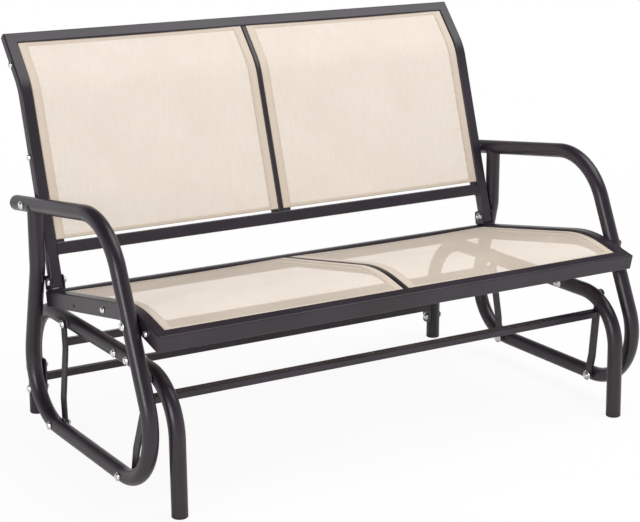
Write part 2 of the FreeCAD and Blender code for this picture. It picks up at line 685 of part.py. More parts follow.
def rear_stretcher():
    """Square tube between the rear legs, with a bolted plate welded on each end."""
    bar = new_body("stretcher_bar", "0", "stretcher_y", "stretcher_height")
    sketch = new_sketch(bar, "stretcher_section", "YZ_Plane")
    half = "stretcher_width / 2"
    add_box_ring(sketch, f"-{half}", half, f"-{half}", half, "stretcher_wall", "2 * stretcher_wall")
    pad(bar, "stretcher_tube", sketch, f"2 * ({BASE_INNER} - seat_gap - plate_thickness)")
    leg_y, _ = rear_leg("stretcher_height")
    plate = new_body("stretcher_plate", f"{BASE_INNER} - seat_gap - plate_thickness")
    outline = new_sketch(plate, "stretcher_plate_outline", "YZ_Plane")
    add_rounded_box(outline, f"{leg_y} - plate_width / 2", f"{leg_y} + plate_width / 2",
                    "stretcher_height - plate_length / 2", "stretcher_height + plate_length / 2",
                    "plate_width / 4")
    for across, up in PLATE_BOLTS:
        add_circle(outline, across, up, HOLE)
    pad(plate, "stretcher_plate_sheet", outline, "plate_thickness", both_ways=False)
    return fuse("rear_stretcher", [bar, plate, mirrored(plate, "stretcher_plate_left")])


def build_base():
    """Every piece that stands still."""
    nodes = pair(base_front_tube, "base_front_tube") + pair(base_rear_tube, "base_rear_tube")
    nodes.append(both_sides("base_joint_sleeves", [joint_sleeve("base_joint_sleeve")]))
    rise = "arch_height - foot_plug_flange"
    front_lean = f"atan2(arch_front_y + foot_half_depth; {rise})"
    rear_lean = f"atan2(arch_rear_y - foot_half_depth; {rise})"
    plugs = [foot_plug("front_foot_plug", "-foot_half_depth", front_lean),
             foot_plug("rear_foot_plug", "foot_half_depth", rear_lean)]
    nodes.append(both_sides("foot_plugs", plugs))
    nodes.append(rear_stretcher())
    outer = f"{BASE_OUTER} + seat_gap"
    face = f"{BASE_INNER} - seat_gap"
    nodes += bolted("base_joint", JOINT_BOLTS, outer, face, f"{face} - nut_depth - joint_bolt_end")
    plate_face = f"{face} - plate_thickness - seat_gap"
    nodes += bolted("stretcher", PLATE_BOLTS, outer, plate_face, f"{plate_face} - nut_depth - bolt_end")
    return nodes + top_pivots()


def top_pivots():
    """The hangers' top bolts, and the threaded bosses that hold them in the base tubes."""
    inner = f"{BASE_OUTER} - boss_length"
    bolts = []
    bosses = []
    for name, spot in (("rear", REAR_TOP), ("front", FRONT_TOP)):
        bolts.append(bolt(name + "_top_pivot_bolt", spot, TOP_HEAD_X, f"{inner} - bolt_end"))
        outside = rod(name + "_boss_outside", "boss_diameter / 2", inner, *spot, "boss_length")
        thread = rod(name + "_boss_thread", "bolt_diameter / 2 + running_gap", inner, *spot, "boss_length")
        bosses.append(cut(name + "_boss", outside, thread))
    return [both_sides("top_pivot_bolts", bolts), both_sides("top_pivot_nuts", bosses)]


def bolted(name, spots, outer, face, tip):
    """The bolts and the nuts of one kind of joint, on both sides, as two nodes."""
    bolts = [bolt(f"{name}_bolt_{i}", spot, outer, tip) for i, spot in enumerate(spots, start=1)]
    nuts = [nut(f"{name}_nut_{i}", spot, face) for i, spot in enumerate(spots, start=1)]
    return [both_sides(name + "_bolts", bolts), both_sides(name + "_nuts", nuts)]


# Hangers

# The corner radius of a link's end, as a share of its width: a half would be a full round
ROUND_END = "0.49"


def hanger_link(name, top, bottom):
    """A flat bar with round ends and a joggle, drawn hanging straight down from its top pivot."""
    length, lean = span(top, bottom)
    body = new_body(name, LINK_TOP_X, *top, lean)
    half = "link_thickness / 2"
    path = new_sketch(body, name + "_path", "XZ_Plane")
    add_bent_line(path, [(half, "link_width / 2"), (half, "-link_straight"),
                         (f"{half} + {JOGGLE}", f"link_straight - {length}"),
                         (f"{half} + {JOGGLE}", f"-{length} - link_width / 2")], ["link_bend"] * 2)
    lift = "placement(vector(0; 0; link_width / 2); rotation(vector(0; 0; 1); 0))"
    section = new_sketch(body, name + "_section", "XY_Plane", lift)
    add_polygon(section, [("0", "-link_width / 2"), ("link_thickness", "-link_width / 2"),
                          ("link_thickness", "link_width / 2"), ("0", "link_width / 2")])
    doc.recompute()
    bar = body.newObject("PartDesign::AdditivePipe", name + "_bar")
    bar.Profile = section
    bar.Spine = path
    doc.recompute()
    trim(body, name + "_ends", "-link_width / 2", "link_width / 2",
         f"-{length} - link_width / 2", "link_width / 2", f"{ROUND_END} * link_width")
    cut_across(body, name + "_holes", [("0", "0"), ("0", f"-{length}")], "bush_diameter / 2 + press_gap")
    return body


def hanger_bar(name, top, bottom, drop):
    """The square cross bar that is welded between the two links of a hanger."""
    _, lean = span(top, bottom)
    y, z = top
    body = new_body(name, "0", f"{y} + {drop} * sin({lean})", f"{z} - {drop} * cos({lean})", lean)
    sketch = new_sketch(body, name + "_section", "YZ_Plane")
    half = "stretcher_width / 2"
    add_box_ring(sketch, f"-{half}", half, f"-{half}", half, "stretcher_wall", "2 * stretcher_wall")
    pad(body, name + "_tube", sketch, f"2 * {LINK_TOP_X}")
    return body


def bush(name, spot, flange_x, barrel_x, barrel_length, play):
    """A flanged plastic bush on its bolt, bored with a radial play."""
    y, z = spot
    flange = rod(name + "_flange", "bush_flange_diameter / 2", flange_x, y, z, "bush_flange")
    barrel = rod(name + "_barrel", "bush_diameter / 2", barrel_x, y, z, barrel_length)
    bore_x = f"{barrel_x} - bush_flange"
    bore = rod(name + "_bore", f"bolt_diameter / 2 + {play}", bore_x, y, z,
               f"{barrel_length} + 2 * bush_flange")
    return cut(name, fuse(name + "_solid", [flange, barrel]), bore)


def build_hanger(name, top, bottom, drop, play):
    """Two links, their cross bar and their bushes; play is that of the bottom bushes."""
    nodes = pair(lambda node: hanger_link(node, top, bottom), name + "_link")
    nodes.append(hanger_bar(name + "_bar", top, bottom, drop))
    barrel = "link_thickness + body_gap"
    bushes = [
        bush(name + "_top_bush", top, f"{LINK_TOP_X} - bush_flange", LINK_TOP_X, barrel, "running_gap"),
        bush(name + "_bottom_bush", bottom, f"{LINK_BOTTOM_X} + link_thickness",
             f"{LINK_BOTTOM_X} - body_gap", barrel, play),
    ]
    nodes.append(both_sides(name + "_bushes", bushes))
    return nodes


# Arm loops

ARMREST_END = ("armrest_end_y", "armrest_end_height")
# The loop's two tubes meet in its lower rail, where the rear bend starts
REAR_BEND_TURN = "(90 deg + atan2(loop_rear_y - upright_low_y; upright_low_height - loop_height))"
LOOP_SEAM = (f"loop_rear_y - loop_rear_bend * tan({REAR_BEND_TURN} / 2) - loop_seam_straight", "loop_height")
LOOP_CORNERS = [ARMREST_END, ("armrest_y", "armrest_height"), ("loop_front_y", "loop_height"), LOOP_SEAM]
LOOP_BENDS = ["armrest_bend", "loop_front_bend"]
UPRIGHT_CORNERS = [
    LOOP_SEAM, ("loop_rear_y", "loop_height"), ("upright_low_y", "upright_low_height"),
    ("upright_y", "upright_high_height"), ("upright_y", "upright_weld"),
]
UPRIGHT_BENDS = ["loop_rear_bend", "upright_low_bend", "upright_high_bend"]


def arm_loop(name):
    """One bent tube: armrest, front tube and lower rail, as far as the seam."""
    body = new_body(name, LOOP_MIDDLE)
    sweep(body, name + "_bent_tube", LOOP_CORNERS, LOOP_BENDS, draw_tube, spin="90")
    cut_across(body, name + "_holes", [FRONT_BOTTOM, SEAT_BOLT, ARMREST_BOLT], HOLE)
    return body


def arm_upright(name):
    """The bent tube that closes the loop from the seam, coped to the armrest's underside."""
    body = new_body(name, LOOP_MIDDLE)
    seam = "placement(vector(0; upright_y; upright_weld); rotation(vector(0; 0; 1); 90))"
    ring = new_sketch(body, name + "_upright_section", "XY_Plane", seam)
    draw_tube(ring)
    rise = f"armrest_end_height + (armrest_end_y - upright_y) * tan({ARMREST_TURN}) - upright_weld"
    pad(body, name + "_upright_top", ring, rise, both_ways=False)
    sweep(body, name + "_cope", LOOP_CORNERS[:3], LOOP_BENDS[:1], draw_tube_outside,
          "PartDesign::SubtractivePipe", "90")
    sweep(body, name + "_bent_tube", UPRIGHT_CORNERS, UPRIGHT_BENDS, draw_tube, spin="90")
    cut_across(body, name + "_hole", [REAR_BOTTOM], HOLE)
    return body


def armrest_plug(name):
    """The plug in the armrest's rear end."""
    return round_plug(name, "plug_flange", LOOP_MIDDLE,
                      f"armrest_end_y + plug_flange * cos({ARMREST_TURN})",
                      f"armrest_end_height - plug_flange * sin({ARMREST_TURN})", f"90 deg - {ARMREST_TURN}")


def armrest_spacer(name):
    """The washer between the armrest tube and the back's side rail."""
    y, z = ARMREST_BOLT
    start = f"{BACK_OUTER} + seat_gap"
    length = f"{LOOP_INNER} - {BACK_OUTER} - 2 * seat_gap"
    ring = rod(name + "_ring", "bush_flange_diameter / 2", start, y, z, length)
    return cut(name, ring, rod(name + "_hole", HOLE, start, y, z, length))


# Seat frame

def rail_section(section, width, low, high):
    """A rectangular rail's ring, centred on X."""
    add_box_ring(section, f"-{width} / 2", f"{width} / 2", low, high, "rail_wall", "rail_corner")


def slanted(place_at, turn):
    """A sketch offset on the XZ plane, moved to a place and leant back by an angle."""
    y, z = place_at
    return f"placement(vector(0; {z}; -({y})); rotation(vector(1; 0; 0); -({turn})))"


def mitre(body, name, offset, start, end, cross_rail):
    """Cut a mitre whose line runs from the frame's outer corner (start) to its inner corner (end).

    The sketch's X is the body's X. A cross rail loses what lies outside the line, and a side rail
    what lies inside it.
    """
    sketch = new_sketch(body, name + "_sketch", "XZ_Plane", offset)
    margin = "0.3"
    reach = [f"{margin} * ({last} - ({first}))" for first, last in zip(start, end)]
    before = [f"{first} - {extra}" for first, extra in zip(start, reach)]
    after = [f"{last} + {extra}" for last, extra in zip(end, reach)]
    third = (before[0], after[1]) if cross_rail else (after[0], before[1])
    add_polygon(sketch, [tuple(before), tuple(after), third])
    return pocket_through(body, name, sketch)


def on_seat(y_size):
    """A place on the seat's top face behind its bend."""
    return y_size, f"seat_rear_height + (seat_rear_y - {y_size}) * tan({SEAT_TURN})"


def on_nose(y_size):
    """A place on the seat's top face before its bend."""
    return y_size, f"seat_front_height + ({y_size} - seat_front_y) * tan({FRONT_TURN})"


FRONT_CORNER = slanted(SEAT_FRONT, f"90 deg - {FRONT_TURN}")
SEAT_SCREWS = [
    along(on_seat("seat_screw_rear_y"), SEAT_TURN, "0", "seat_screw_drop"),
    along(on_nose("seat_screw_front_y"), f"(-{FRONT_TURN})", "0", "seat_screw_drop"),
]
SPARE_HOLE = along(on_seat("spare_hole_y"), SEAT_TURN, "0", "spare_hole_drop")
SCREW_HOLE = "screw_diameter / 2 + bolt_hole_gap"


def seat_side_rail(name):
    """Bent rectangular rail, mitred at the front corner."""
    body = new_body(name, f"({SEAT_OUTER} + {SEAT_INNER}) / 2")
    sweep(body, name + "_bent_rail", [SEAT_REAR, SEAT_PEAK, SEAT_FRONT], ["seat_bend"],
          lambda section: rail_section(section, "seat_rail_width", "-seat_rail_height", "0"))
    half = "seat_rail_width / 2"
    mitre(body, name + "_mitre", FRONT_CORNER, (half, "0"), (f"-{half}", "front_rail_depth"), False)
    cut_across(body, name + "_bolt_hole", [SEAT_BOLT], HOLE)
    cut_across(body, name + "_screw_holes", SEAT_SCREWS + [SPARE_HOLE], SCREW_HOLE)
    return body


def cross_rail(name, low, high, front, rear, length, origin, turn):
    """A straight rectangular rail along X, with its section in a frame of its own."""
    body = new_body(name, "0", *origin, turn)
    sketch = new_sketch(body, name + "_section", "YZ_Plane")
    add_box_ring(sketch, front, rear, low, high, "rail_wall", "rail_corner")
    pad(body, name + "_rail", sketch, length)
    return body


def seat_front_rail():
    """The seat's front rail, mitred into the side rails."""
    body = cross_rail("seat_front_rail", "-seat_rail_height", "0", "0", "front_rail_depth",
                      f"2 * {SEAT_OUTER}", SEAT_FRONT, FRONT_TURN)
    lying = "placement(vector(0; 0; 0); rotation(vector(1; 0; 0); -90))"
    for side, sign in (("right", ""), ("left", "-")):
        mitre(body, f"seat_front_rail_{side}_mitre", lying, (f"{sign}{SEAT_OUTER}", "0"),
              (f"{sign}{SEAT_INNER}", "front_rail_depth"), True)
    return body


def seat_centre_rail():
    """The slim rail between the two seat slings, bent like the side rails."""
    body = new_body("seat_centre_rail")
    sweep(body, "seat_centre_bent_rail", SEAT_SLING_LINE, ["seat_bend"],
          lambda section: rail_section(section, "centre_rail_width",
                                       "-centre_rail_drop - centre_rail_height", "-centre_rail_drop"))
    return body


def rail_plug(name, middle, width, low, high, origin, turn):
    """A plastic plug in a rectangular rail that runs from the origin along the plug's -Y."""
    body = new_body(name, middle, *origin, turn)
    cap = new_sketch(body, name + "_cap_outline", "XZ_Plane")
    add_rounded_box(cap, f"-{width} / 2", f"{width} / 2", low, high, "rail_corner")
    flange = pad(body, name + "_cap", cap, "rail_plug_flange", both_ways=False)
    flange.Reversed = True
    inset = "rail_wall + seat_gap"
    stem = new_sketch(body, name + "_stem_outline", "XZ_Plane")
    add_rounded_box(stem, f"-{width} / 2 + {inset}", f"{width} / 2 - ({inset})",
                    f"{low} + {inset}", f"{high} - ({inset})", "rail_corner - rail_wall")
    pad(body, name + "_stem", stem, "rail_plug_depth", both_ways=False)
    return body


BRACKET_INNER = f"({BACK_INNER} - seat_gap - bracket_thickness)"


def back_bracket(name):
    """The U bracket that stands on the seat's side rail and holds the foot of the back."""
    body = new_body(name + "_sheet", "0", *SEAT_REAR, f"-{SEAT_TURN}")
    sketch = new_sketch(body, name + "_section", "XZ_Plane")
    low = "seat_gap"
    high = "seat_gap + bracket_height"
    inner, outer = BRACKET_INNER, SEAT_OUTER
    wall = "bracket_thickness"
    corners = [(inner, low), (outer, low), (outer, high), (f"{outer} - {wall}", high),
               (f"{outer} - {wall}", f"{low} + {wall}"), (f"{inner} + {wall}", f"{low} + {wall}"),
               (f"{inner} + {wall}", high), (inner, high)]
    tight = "bracket_bend - bracket_thickness"
    bends = ["bracket_bend", "bracket_bend", tight, tight, tight, tight, tight, tight]
    add_bent_line(sketch, corners, bends, closed=True)
    pad(body, name + "_bent_sheet", sketch, "bracket_length", both_ways=False)
    trim(body, name + "_ears", "-bracket_length", "0", "-2 * bracket_corner", high, "bracket_corner")
    start = f"{inner} - {wall}"
    hole = rod(name + "_hole", HOLE, start, *FOOT_BOLT, f"{outer} - {inner} + 2 * {wall}")
    return cut(name, body, hole)


# Back frame

def back_side_rail(name):
    """Bent rectangular rail of the back, mitred at the top corner."""
    body = new_body(name, f"({BACK_OUTER} + {BACK_INNER}) / 2")
    sweep(body, name + "_bent_rail", [BACK_FOOT, BACK_BEND, BACK_TOP], ["back_bend"],
          lambda section: rail_section(section, "back_rail_width", "0", "back_rail_depth"))
    half = "back_rail_width / 2"
    mitre(body, name + "_mitre", slanted(BACK_TOP, HEAD_TURN),
          (half, "0"), (f"-{half}", "-cross_rail_height"), False)
    cut_across(body, name + "_bolt_holes", [FOOT_BOLT, ARMREST_BOLT], HOLE)
    cut_across(body, name + "_screw_holes", BACK_SCREWS, SCREW_HOLE)
    return body


def back_top_rail():
    """The back's top rail, mitred into the side rails."""
    body = cross_rail("back_top_rail", "-cross_rail_height", "0", "0", "back_rail_depth",
                      f"2 * {BACK_OUTER}", BACK_TOP, f"-{HEAD_TURN}")
    for side, sign in (("right", ""), ("left", "-")):
        mitre(body, f"back_top_rail_{side}_mitre", None, (f"{sign}{BACK_OUTER}", "0"),
              (f"{sign}{BACK_INNER}", "-cross_rail_height"), True)
    return body


def back_bottom_rail():
    """The back's bottom rail between the side rails."""
    return cross_rail("back_bottom_rail", "-cross_rail_height", "0", "0", "back_rail_depth",
                      f"2 * {BACK_INNER}", BACK_LOW, f"-{BACK_TURN}")


def back_centre_rail():
    """The slim rail between the two back slings."""
    body = new_body("back_centre_rail")
    sweep(body, "back_centre_bent_rail", BACK_LINE, ["back_bend"],
          lambda section: rail_section(section, "centre_rail_width", "back_centre_drop",
                                       "back_centre_drop + back_centre_depth"))
    return body


# Slings and the flat bars in their hems

CENTRE_EDGE = "centre_rail_width / 2 + seat_gap"
BAR_TOP = "sling_thickness + seat_gap"


def draw_strip(left, right, low, high):
    """A plain rectangular section, for slings and bars."""
    return lambda section: add_polygon(section, [(left, low), (right, low), (right, high), (left, high)])


def strip(name, line, bend, left, right, low, high):
    """A thin rectangular strip that follows the seat or the back."""
    body = new_body(name)
    sweep(body, name + "_strip", line, [bend], draw_strip(left, right, low, high))
    return body


def seat_strip(name, left, right, depth, thickness):
    """A strip that lies a depth under the seat's top face."""
    return strip(name, SEAT_SLING_LINE, "seat_bend", left, right, f"-({depth} + {thickness})", f"-({depth})")


def back_strip(name, line, left, right, depth, thickness):
    """A strip that lies a depth behind the back's front face."""
    return strip(name, line, "back_bend", left, right, depth, f"{depth} + {thickness}")


def block(name, corner, sizes, turn):
    """A box from one corner, turned about X."""
    box = doc.addObject("Part::Box", name)
    for side, size in zip(("Length", "Width", "Height"), sizes):
        box.setExpression(side, bound(size))
    place(box, *corner, turn)
    return box


def seat_tab(name, spot, turn):
    """The tab that hangs from a seat bar beside its side rail, drilled for the screw."""
    x = f"{SEAT_INNER} - seat_gap - tab_thickness"
    top = f"seat_sling_drop + {BAR_TOP} + bar_thickness"
    corner = along(spot, turn, "tab_length / 2", f"{top} + seat_tab_depth")
    sizes = ("tab_thickness", "tab_length", "seat_tab_depth")
    return block(name, (x, *corner), sizes, f"-({turn})")


def back_tab(name, spot, turn):
    """The tab behind a back bar, beside its side rail."""
    x = f"{BACK_INNER} - seat_gap - tab_thickness"
    front = f"back_sling_drop + {BAR_TOP} + bar_thickness"
    corner = behind(up_slope(spot, turn, "-tab_length / 2"), turn, front)
    sizes = ("tab_thickness", "back_tab_depth", "tab_length")
    return block(name, (x, *corner), sizes, f"-({turn})")


def drilled_bar(name, bar, tabs, screws, inner):
    """A hem bar with its tabs welded on, and a hole in each tab."""
    whole = fuse(name + "_welded", [bar] + tabs)
    start = f"{inner} - 2 * tab_thickness"
    drills = [rod(f"{name}_drill_{i}", SCREW_HOLE, start, *spot, "2 * tab_thickness")
              for i, spot in enumerate(screws, start=1)]
    return cut(name, whole, fuse(name + "_drills", drills))


def seat_bars():
    """Right-hand seat bars: one beside the side rail with tabs, one beside the centre rail."""
    edge = f"{SEAT_INNER} - seat_gap"
    depth = f"seat_sling_drop + {BAR_TOP}"
    outer = seat_strip("seat_outer_bar_strip", f"{edge} - bar_width", edge, depth, "bar_thickness")
    inner = seat_strip("seat_inner_bar", CENTRE_EDGE, f"{CENTRE_EDGE} + bar_width", depth, "bar_thickness")
    tabs = [seat_tab("seat_rear_tab", on_seat("seat_screw_rear_y"), SEAT_TURN),
            seat_tab("seat_front_tab", on_nose("seat_screw_front_y"), f"(-{FRONT_TURN})")]
    return [drilled_bar("seat_outer_bar", outer, tabs, SEAT_SCREWS, SEAT_INNER), inner]


def back_bars():
    """Right-hand back bars, made like the seat's."""
    edge = f"{BACK_INNER} - seat_gap"
    depth = f"back_sling_drop + {BAR_TOP}"
    outer = back_strip("back_outer_bar_strip", BACK_LINE, f"{edge} - bar_width", edge, depth,
                       "bar_thickness")
    inner = back_strip("back_inner_bar", BACK_LINE, CENTRE_EDGE, f"{CENTRE_EDGE} + bar_width", depth,
                       "bar_thickness")
    tabs = [back_tab("back_low_tab", LOW_SCREW, BACK_TURN),
            back_tab("back_high_tab", HIGH_SCREW, HEAD_TURN)]
    return [drilled_bar("back_outer_bar", outer, tabs, BACK_SCREWS, BACK_INNER), inner]


def build_seat():
    """Every piece that swings: arm loops, seat, back and slings."""
    nodes = pair(arm_loop, "arm_loop") + pair(arm_upright, "arm_upright")
    nodes.append(both_sides("armrest_plugs", [armrest_plug("armrest_plug")]))
    nodes.append(both_sides("armrest_spacers", [armrest_spacer("armrest_spacer")]))
    nodes += pair(seat_side_rail, "seat_side_rail")
    nodes.append(seat_front_rail())
    nodes.append(cross_rail("seat_rear_rail", "-rear_rail_height", "0", "-rear_rail_depth", "0",
                            f"2 * {SEAT_INNER}", SEAT_REAR, f"-{SEAT_TURN}"))
    nodes.append(seat_centre_rail())
    plugs = [rail_plug("seat_rail_plug", f"({SEAT_OUTER} + {SEAT_INNER}) / 2", "seat_rail_width",
                       "-seat_rail_height", "0", SEAT_REAR, f"-{SEAT_TURN}"),
             rail_plug("back_rail_plug", f"({BACK_OUTER} + {BACK_INNER}) / 2", "back_rail_width",
                       "0", "back_rail_depth", BACK_FOOT, f"-(90 deg + {BACK_TURN})")]
    nodes.append(both_sides("rail_plugs", plugs))
    nodes += pair(back_bracket, "back_bracket")
    nodes += pair(back_side_rail, "back_side_rail")
    nodes += [back_top_rail(), back_bottom_rail(), back_centre_rail()]
    nodes += pair(lambda name: seat_strip(name, CENTRE_EDGE, f"{SEAT_INNER} - seat_gap",
                                          "seat_sling_drop", "sling_thickness"), "seat_sling")
    nodes += pair(lambda name: back_strip(name, BACK_SLING_LINE, CENTRE_EDGE, f"{BACK_INNER} - seat_gap",
                                          "back_sling_drop", "sling_thickness"), "back_sling")
    nodes.append(both_sides("seat_sling_bars", seat_bars()))
    nodes.append(both_sides("back_sling_bars", back_bars()))
    return nodes + seat_fasteners()


def seat_fasteners():
    """The bolts, screws and nuts that swing with the seat."""
    outside = f"{LOOP_OUTER} + seat_gap"
    nodes = bolted("bottom_pivot", [REAR_BOTTOM, FRONT_BOTTOM], outside, BOTTOM_NUT_X,
                   f"{BOTTOM_NUT_X} - nut_depth - bolt_end")
    faces = {"seat": f"{SEAT_OUTER} - rail_wall - seat_gap",
             "armrest": f"{BACK_OUTER} - rail_wall - seat_gap"}
    for name, spot in (("seat", SEAT_BOLT), ("armrest", ARMREST_BOLT)):
        tip = f"{faces[name]} - nut_depth - bolt_end"
        nodes += bolted(name, [spot], outside, faces[name], tip)
    ear = f"{BRACKET_INNER} - seat_gap"
    nodes += bolted("back_foot", [FOOT_BOLT], f"{SEAT_OUTER} + seat_gap", ear,
                    f"{ear} - nut_depth - bolt_end")
    screws = []
    nuts = []
    for frame, spots, outer, inner in (("seat", SEAT_SCREWS, SEAT_OUTER, SEAT_INNER),
                                       ("back", BACK_SCREWS, BACK_OUTER, BACK_INNER)):
        face = f"{inner} - 2 * seat_gap - tab_thickness"
        tip = f"{face} - nut_depth - bolt_end"
        for i, spot in enumerate(spots, start=1):
            kind = ("screw_diameter", "screw_head_across")
            screws.append(bolt(f"{frame}_screw_{i}", spot, f"{outer} + seat_gap", tip, *kind))
            nuts.append(nut(f"{frame}_screw_nut_{i}", spot, face, *kind))
    return nodes + [both_sides("sling_screws", screws), both_sides("sling_screw_nuts", nuts)]


def write_parts(nodes):
    """Check every object of the document and each node's shape, then write the nodes."""
    doc.recompute()
    for item in doc.Objects:
        if "Invalid" in item.State or "Error" in item.State:
            raise RuntimeError(f"{item.Label} failed: {item.State}")
    labels = [node.Label for node in nodes]
    if len(set(labels)) != len(labels) or len(labels) > 60:
        raise RuntimeError("the nodes' names must differ, and there is room for 60")
    for node in nodes:
        if node.Shape.isNull() or not node.Shape.isValid() or node.Shape.Volume <= 0:
            raise RuntimeError(f"{node.Label} has no valid solid")
    os.makedirs("parts", exist_ok=True)
    for node in nodes:
        node.Shape.exportStep(os.path.join("parts", node.Label + ".step"))


def main():
    """Build the bench and write one file for each node."""
    fill_sheet()
    nodes = build_base()
    nodes += build_hanger("rear_hanger", REAR_TOP, REAR_BOTTOM, "rear_bar_drop", "running_gap")
    nodes += build_hanger("front_hanger", FRONT_TOP, FRONT_BOTTOM, "front_bar_drop", "open_gap")
    nodes += build_seat()
    write_parts(nodes)
    print(f"{len(nodes)} nodes, {sum(len(node.Shape.Solids) for node in nodes)} solids")


main()
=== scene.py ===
"""Looks of the glider bench: its finishes, sewn slings, weld beads and zinc-plated fasteners.

Frame: +Z is up and the bench's front looks along -Y. Sizes in dataclass fields are millimetres,
as a maker writes them, unless their name or class says metres, and MM turns them into metres. A
Surface is the points of a mesh, in metres, and its quads, as four point numbers each.
"""
from __future__ import annotations

import json
import logging
import math
from abc import ABC, abstractmethod
from dataclasses import dataclass
from enum import Enum, IntEnum

import bpy
import numpy as np
from bpy.types import ID, Material, Node, NodeSocket, NodeTree, Object
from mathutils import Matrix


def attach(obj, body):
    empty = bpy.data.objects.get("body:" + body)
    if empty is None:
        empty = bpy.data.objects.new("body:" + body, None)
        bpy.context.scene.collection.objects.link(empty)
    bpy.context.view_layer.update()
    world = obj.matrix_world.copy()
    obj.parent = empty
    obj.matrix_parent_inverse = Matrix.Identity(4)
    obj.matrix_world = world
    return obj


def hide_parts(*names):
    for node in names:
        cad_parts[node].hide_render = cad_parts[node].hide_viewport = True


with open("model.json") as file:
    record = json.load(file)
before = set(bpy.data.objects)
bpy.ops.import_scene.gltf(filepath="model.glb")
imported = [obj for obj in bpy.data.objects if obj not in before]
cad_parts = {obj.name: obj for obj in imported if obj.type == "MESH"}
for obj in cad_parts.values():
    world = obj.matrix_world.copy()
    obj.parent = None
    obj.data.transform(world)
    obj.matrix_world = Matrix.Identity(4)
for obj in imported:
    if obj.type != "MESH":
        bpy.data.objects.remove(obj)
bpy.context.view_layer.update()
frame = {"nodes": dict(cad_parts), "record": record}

MM = 0.001
WHITE = (1.0, 1.0, 1.0, 1.0)
LOG = logging.getLogger("glider_bench")
Surface = tuple[np.ndarray, np.ndarray]
Triple = tuple[np.ndarray, np.ndarray, np.ndarray]


class Slot(Enum):
    """Material slots of the record."""

    PAINT = "frame_paint"
    SLING = "sling"
    ZINC = "zinc"
    PLUG = "plug"
    BUSH = "bush"


class Side(IntEnum):
    """The bench's two sides, as the sign of X there."""

    RIGHT = 1
    LEFT = -1


# Materials

def linear(code: str) -> tuple[float, float, float, float]:
    """Turn an sRGB hex colour into a linear colour with full alpha.

    Args:
        code: Six hex digits after a hash.

    Returns:
        Linear red, green, blue and alpha.
    """
    levels = [int(code[start:start + 2], 16) / 255 for start in (1, 3, 5)]
    straight = [level / 12.92 if level <= 0.04045 else ((level + 0.055) / 1.055) ** 2.4
                for level in levels]
    return (*straight, 1.0)


def add(tree: NodeTree, kind: str, inputs: dict | None = None,
        stops: tuple[tuple[float, str], ...] = (), **settings) -> Node:
    """Add one shader node with its settings, its values and its links.

    Args:
        tree: The material's or world's node tree.
        kind: The node's type, without the word ShaderNode.
        inputs: Socket name or index to a value, or to an output socket that it is linked from.
        stops: A colour ramp's pairs of position and hex colour, from its low end to its high end.
        settings: The node's own properties.

    Returns:
        The new node.
    """
    node = tree.nodes.new("ShaderNode" + kind)
    for name, value in settings.items():
        setattr(node, name, value)
    for key, value in (inputs or {}).items():
        if isinstance(value, NodeSocket):
            tree.links.new(value, node.inputs[key])
        else:
            node.inputs[key].default_value = value
    if stops:
        elements = node.color_ramp.elements
        for element, (position, code) in zip(elements, (stops[0], stops[-1])):
            element.position = position
            element.color = linear(code)
        for position, code in stops[1:-1]:
            elements.new(position).color = linear(code)
    return node


class Finish(ABC):
    """A finish of the bench or its floor. Each kind says how its surface is shaded."""

    name: str

    @abstractmethod
    def shade(self, tree: NodeTree) -> Node:
        """Add the finish's nodes to the material's empty tree, and return its shader."""

    def material(self) -> Material:
        """Make the material.

        Returns:
            The material, whose surface is the finish's shader.
        """
        material = bpy.data.materials.new(self.name)
        material.use_nodes = True
        tree = material.node_tree
        tree.nodes.clear()
        add(tree, "OutputMaterial", {"Surface": self.shade(tree).outputs[0]})
        return material


@dataclass(frozen=True)
class Grained(Finish):
    """A finish with broad clouds, which change its colour, and a grain.

    The grain changes the gloss, from the first roughness to the second, and the bump. The values
    not given are those of moulded plastic.
    """

    name: str
    stops: tuple[tuple[float, str], ...]
    roughness: tuple[float, float]
    cloud_mm: float = 1.2
    cloud_detail: float = 2.0
    grain_mm: float = 1.2
    grain_detail: float = 2.0
    bump: float = 0.25
    bump_depth_mm: float = 0.1
    metallic: float = 0.0

    def shade(self, tree: NodeTree) -> Node:
        """Add both noises, and what follows them.

        Args:
            tree: The material's node tree.

        Returns:
            The shader.
        """
        places = add(tree, "TexCoord").outputs["Object"]
        clouds, grain = (add(tree, "TexNoise", {"Vector": places, "Scale": 1 / (size * MM),
                                                "Detail": detail}).outputs["Fac"]
                         for size, detail in ((self.cloud_mm, self.cloud_detail),
                                              (self.grain_mm, self.grain_detail)))
        colour = add(tree, "ValToRGB", {"Fac": clouds}, self.stops)
        low, high = self.roughness
        rough = add(tree, "MapRange", {"Value": grain, "To Min": low, "To Max": high})
        shader = add(tree, "BsdfPrincipled", {"Base Color": colour.outputs["Color"], "IOR": 1.5,
                                              "Roughness": rough.outputs["Result"],
                                              "Metallic": self.metallic})
        if self.bump:
            bump = add(tree, "Bump", {"Height": grain, "Strength": self.bump,
                                      "Distance": self.bump_depth_mm * MM})
            tree.links.new(bump.outputs["Normal"], shader.inputs["Normal"])
        return shader


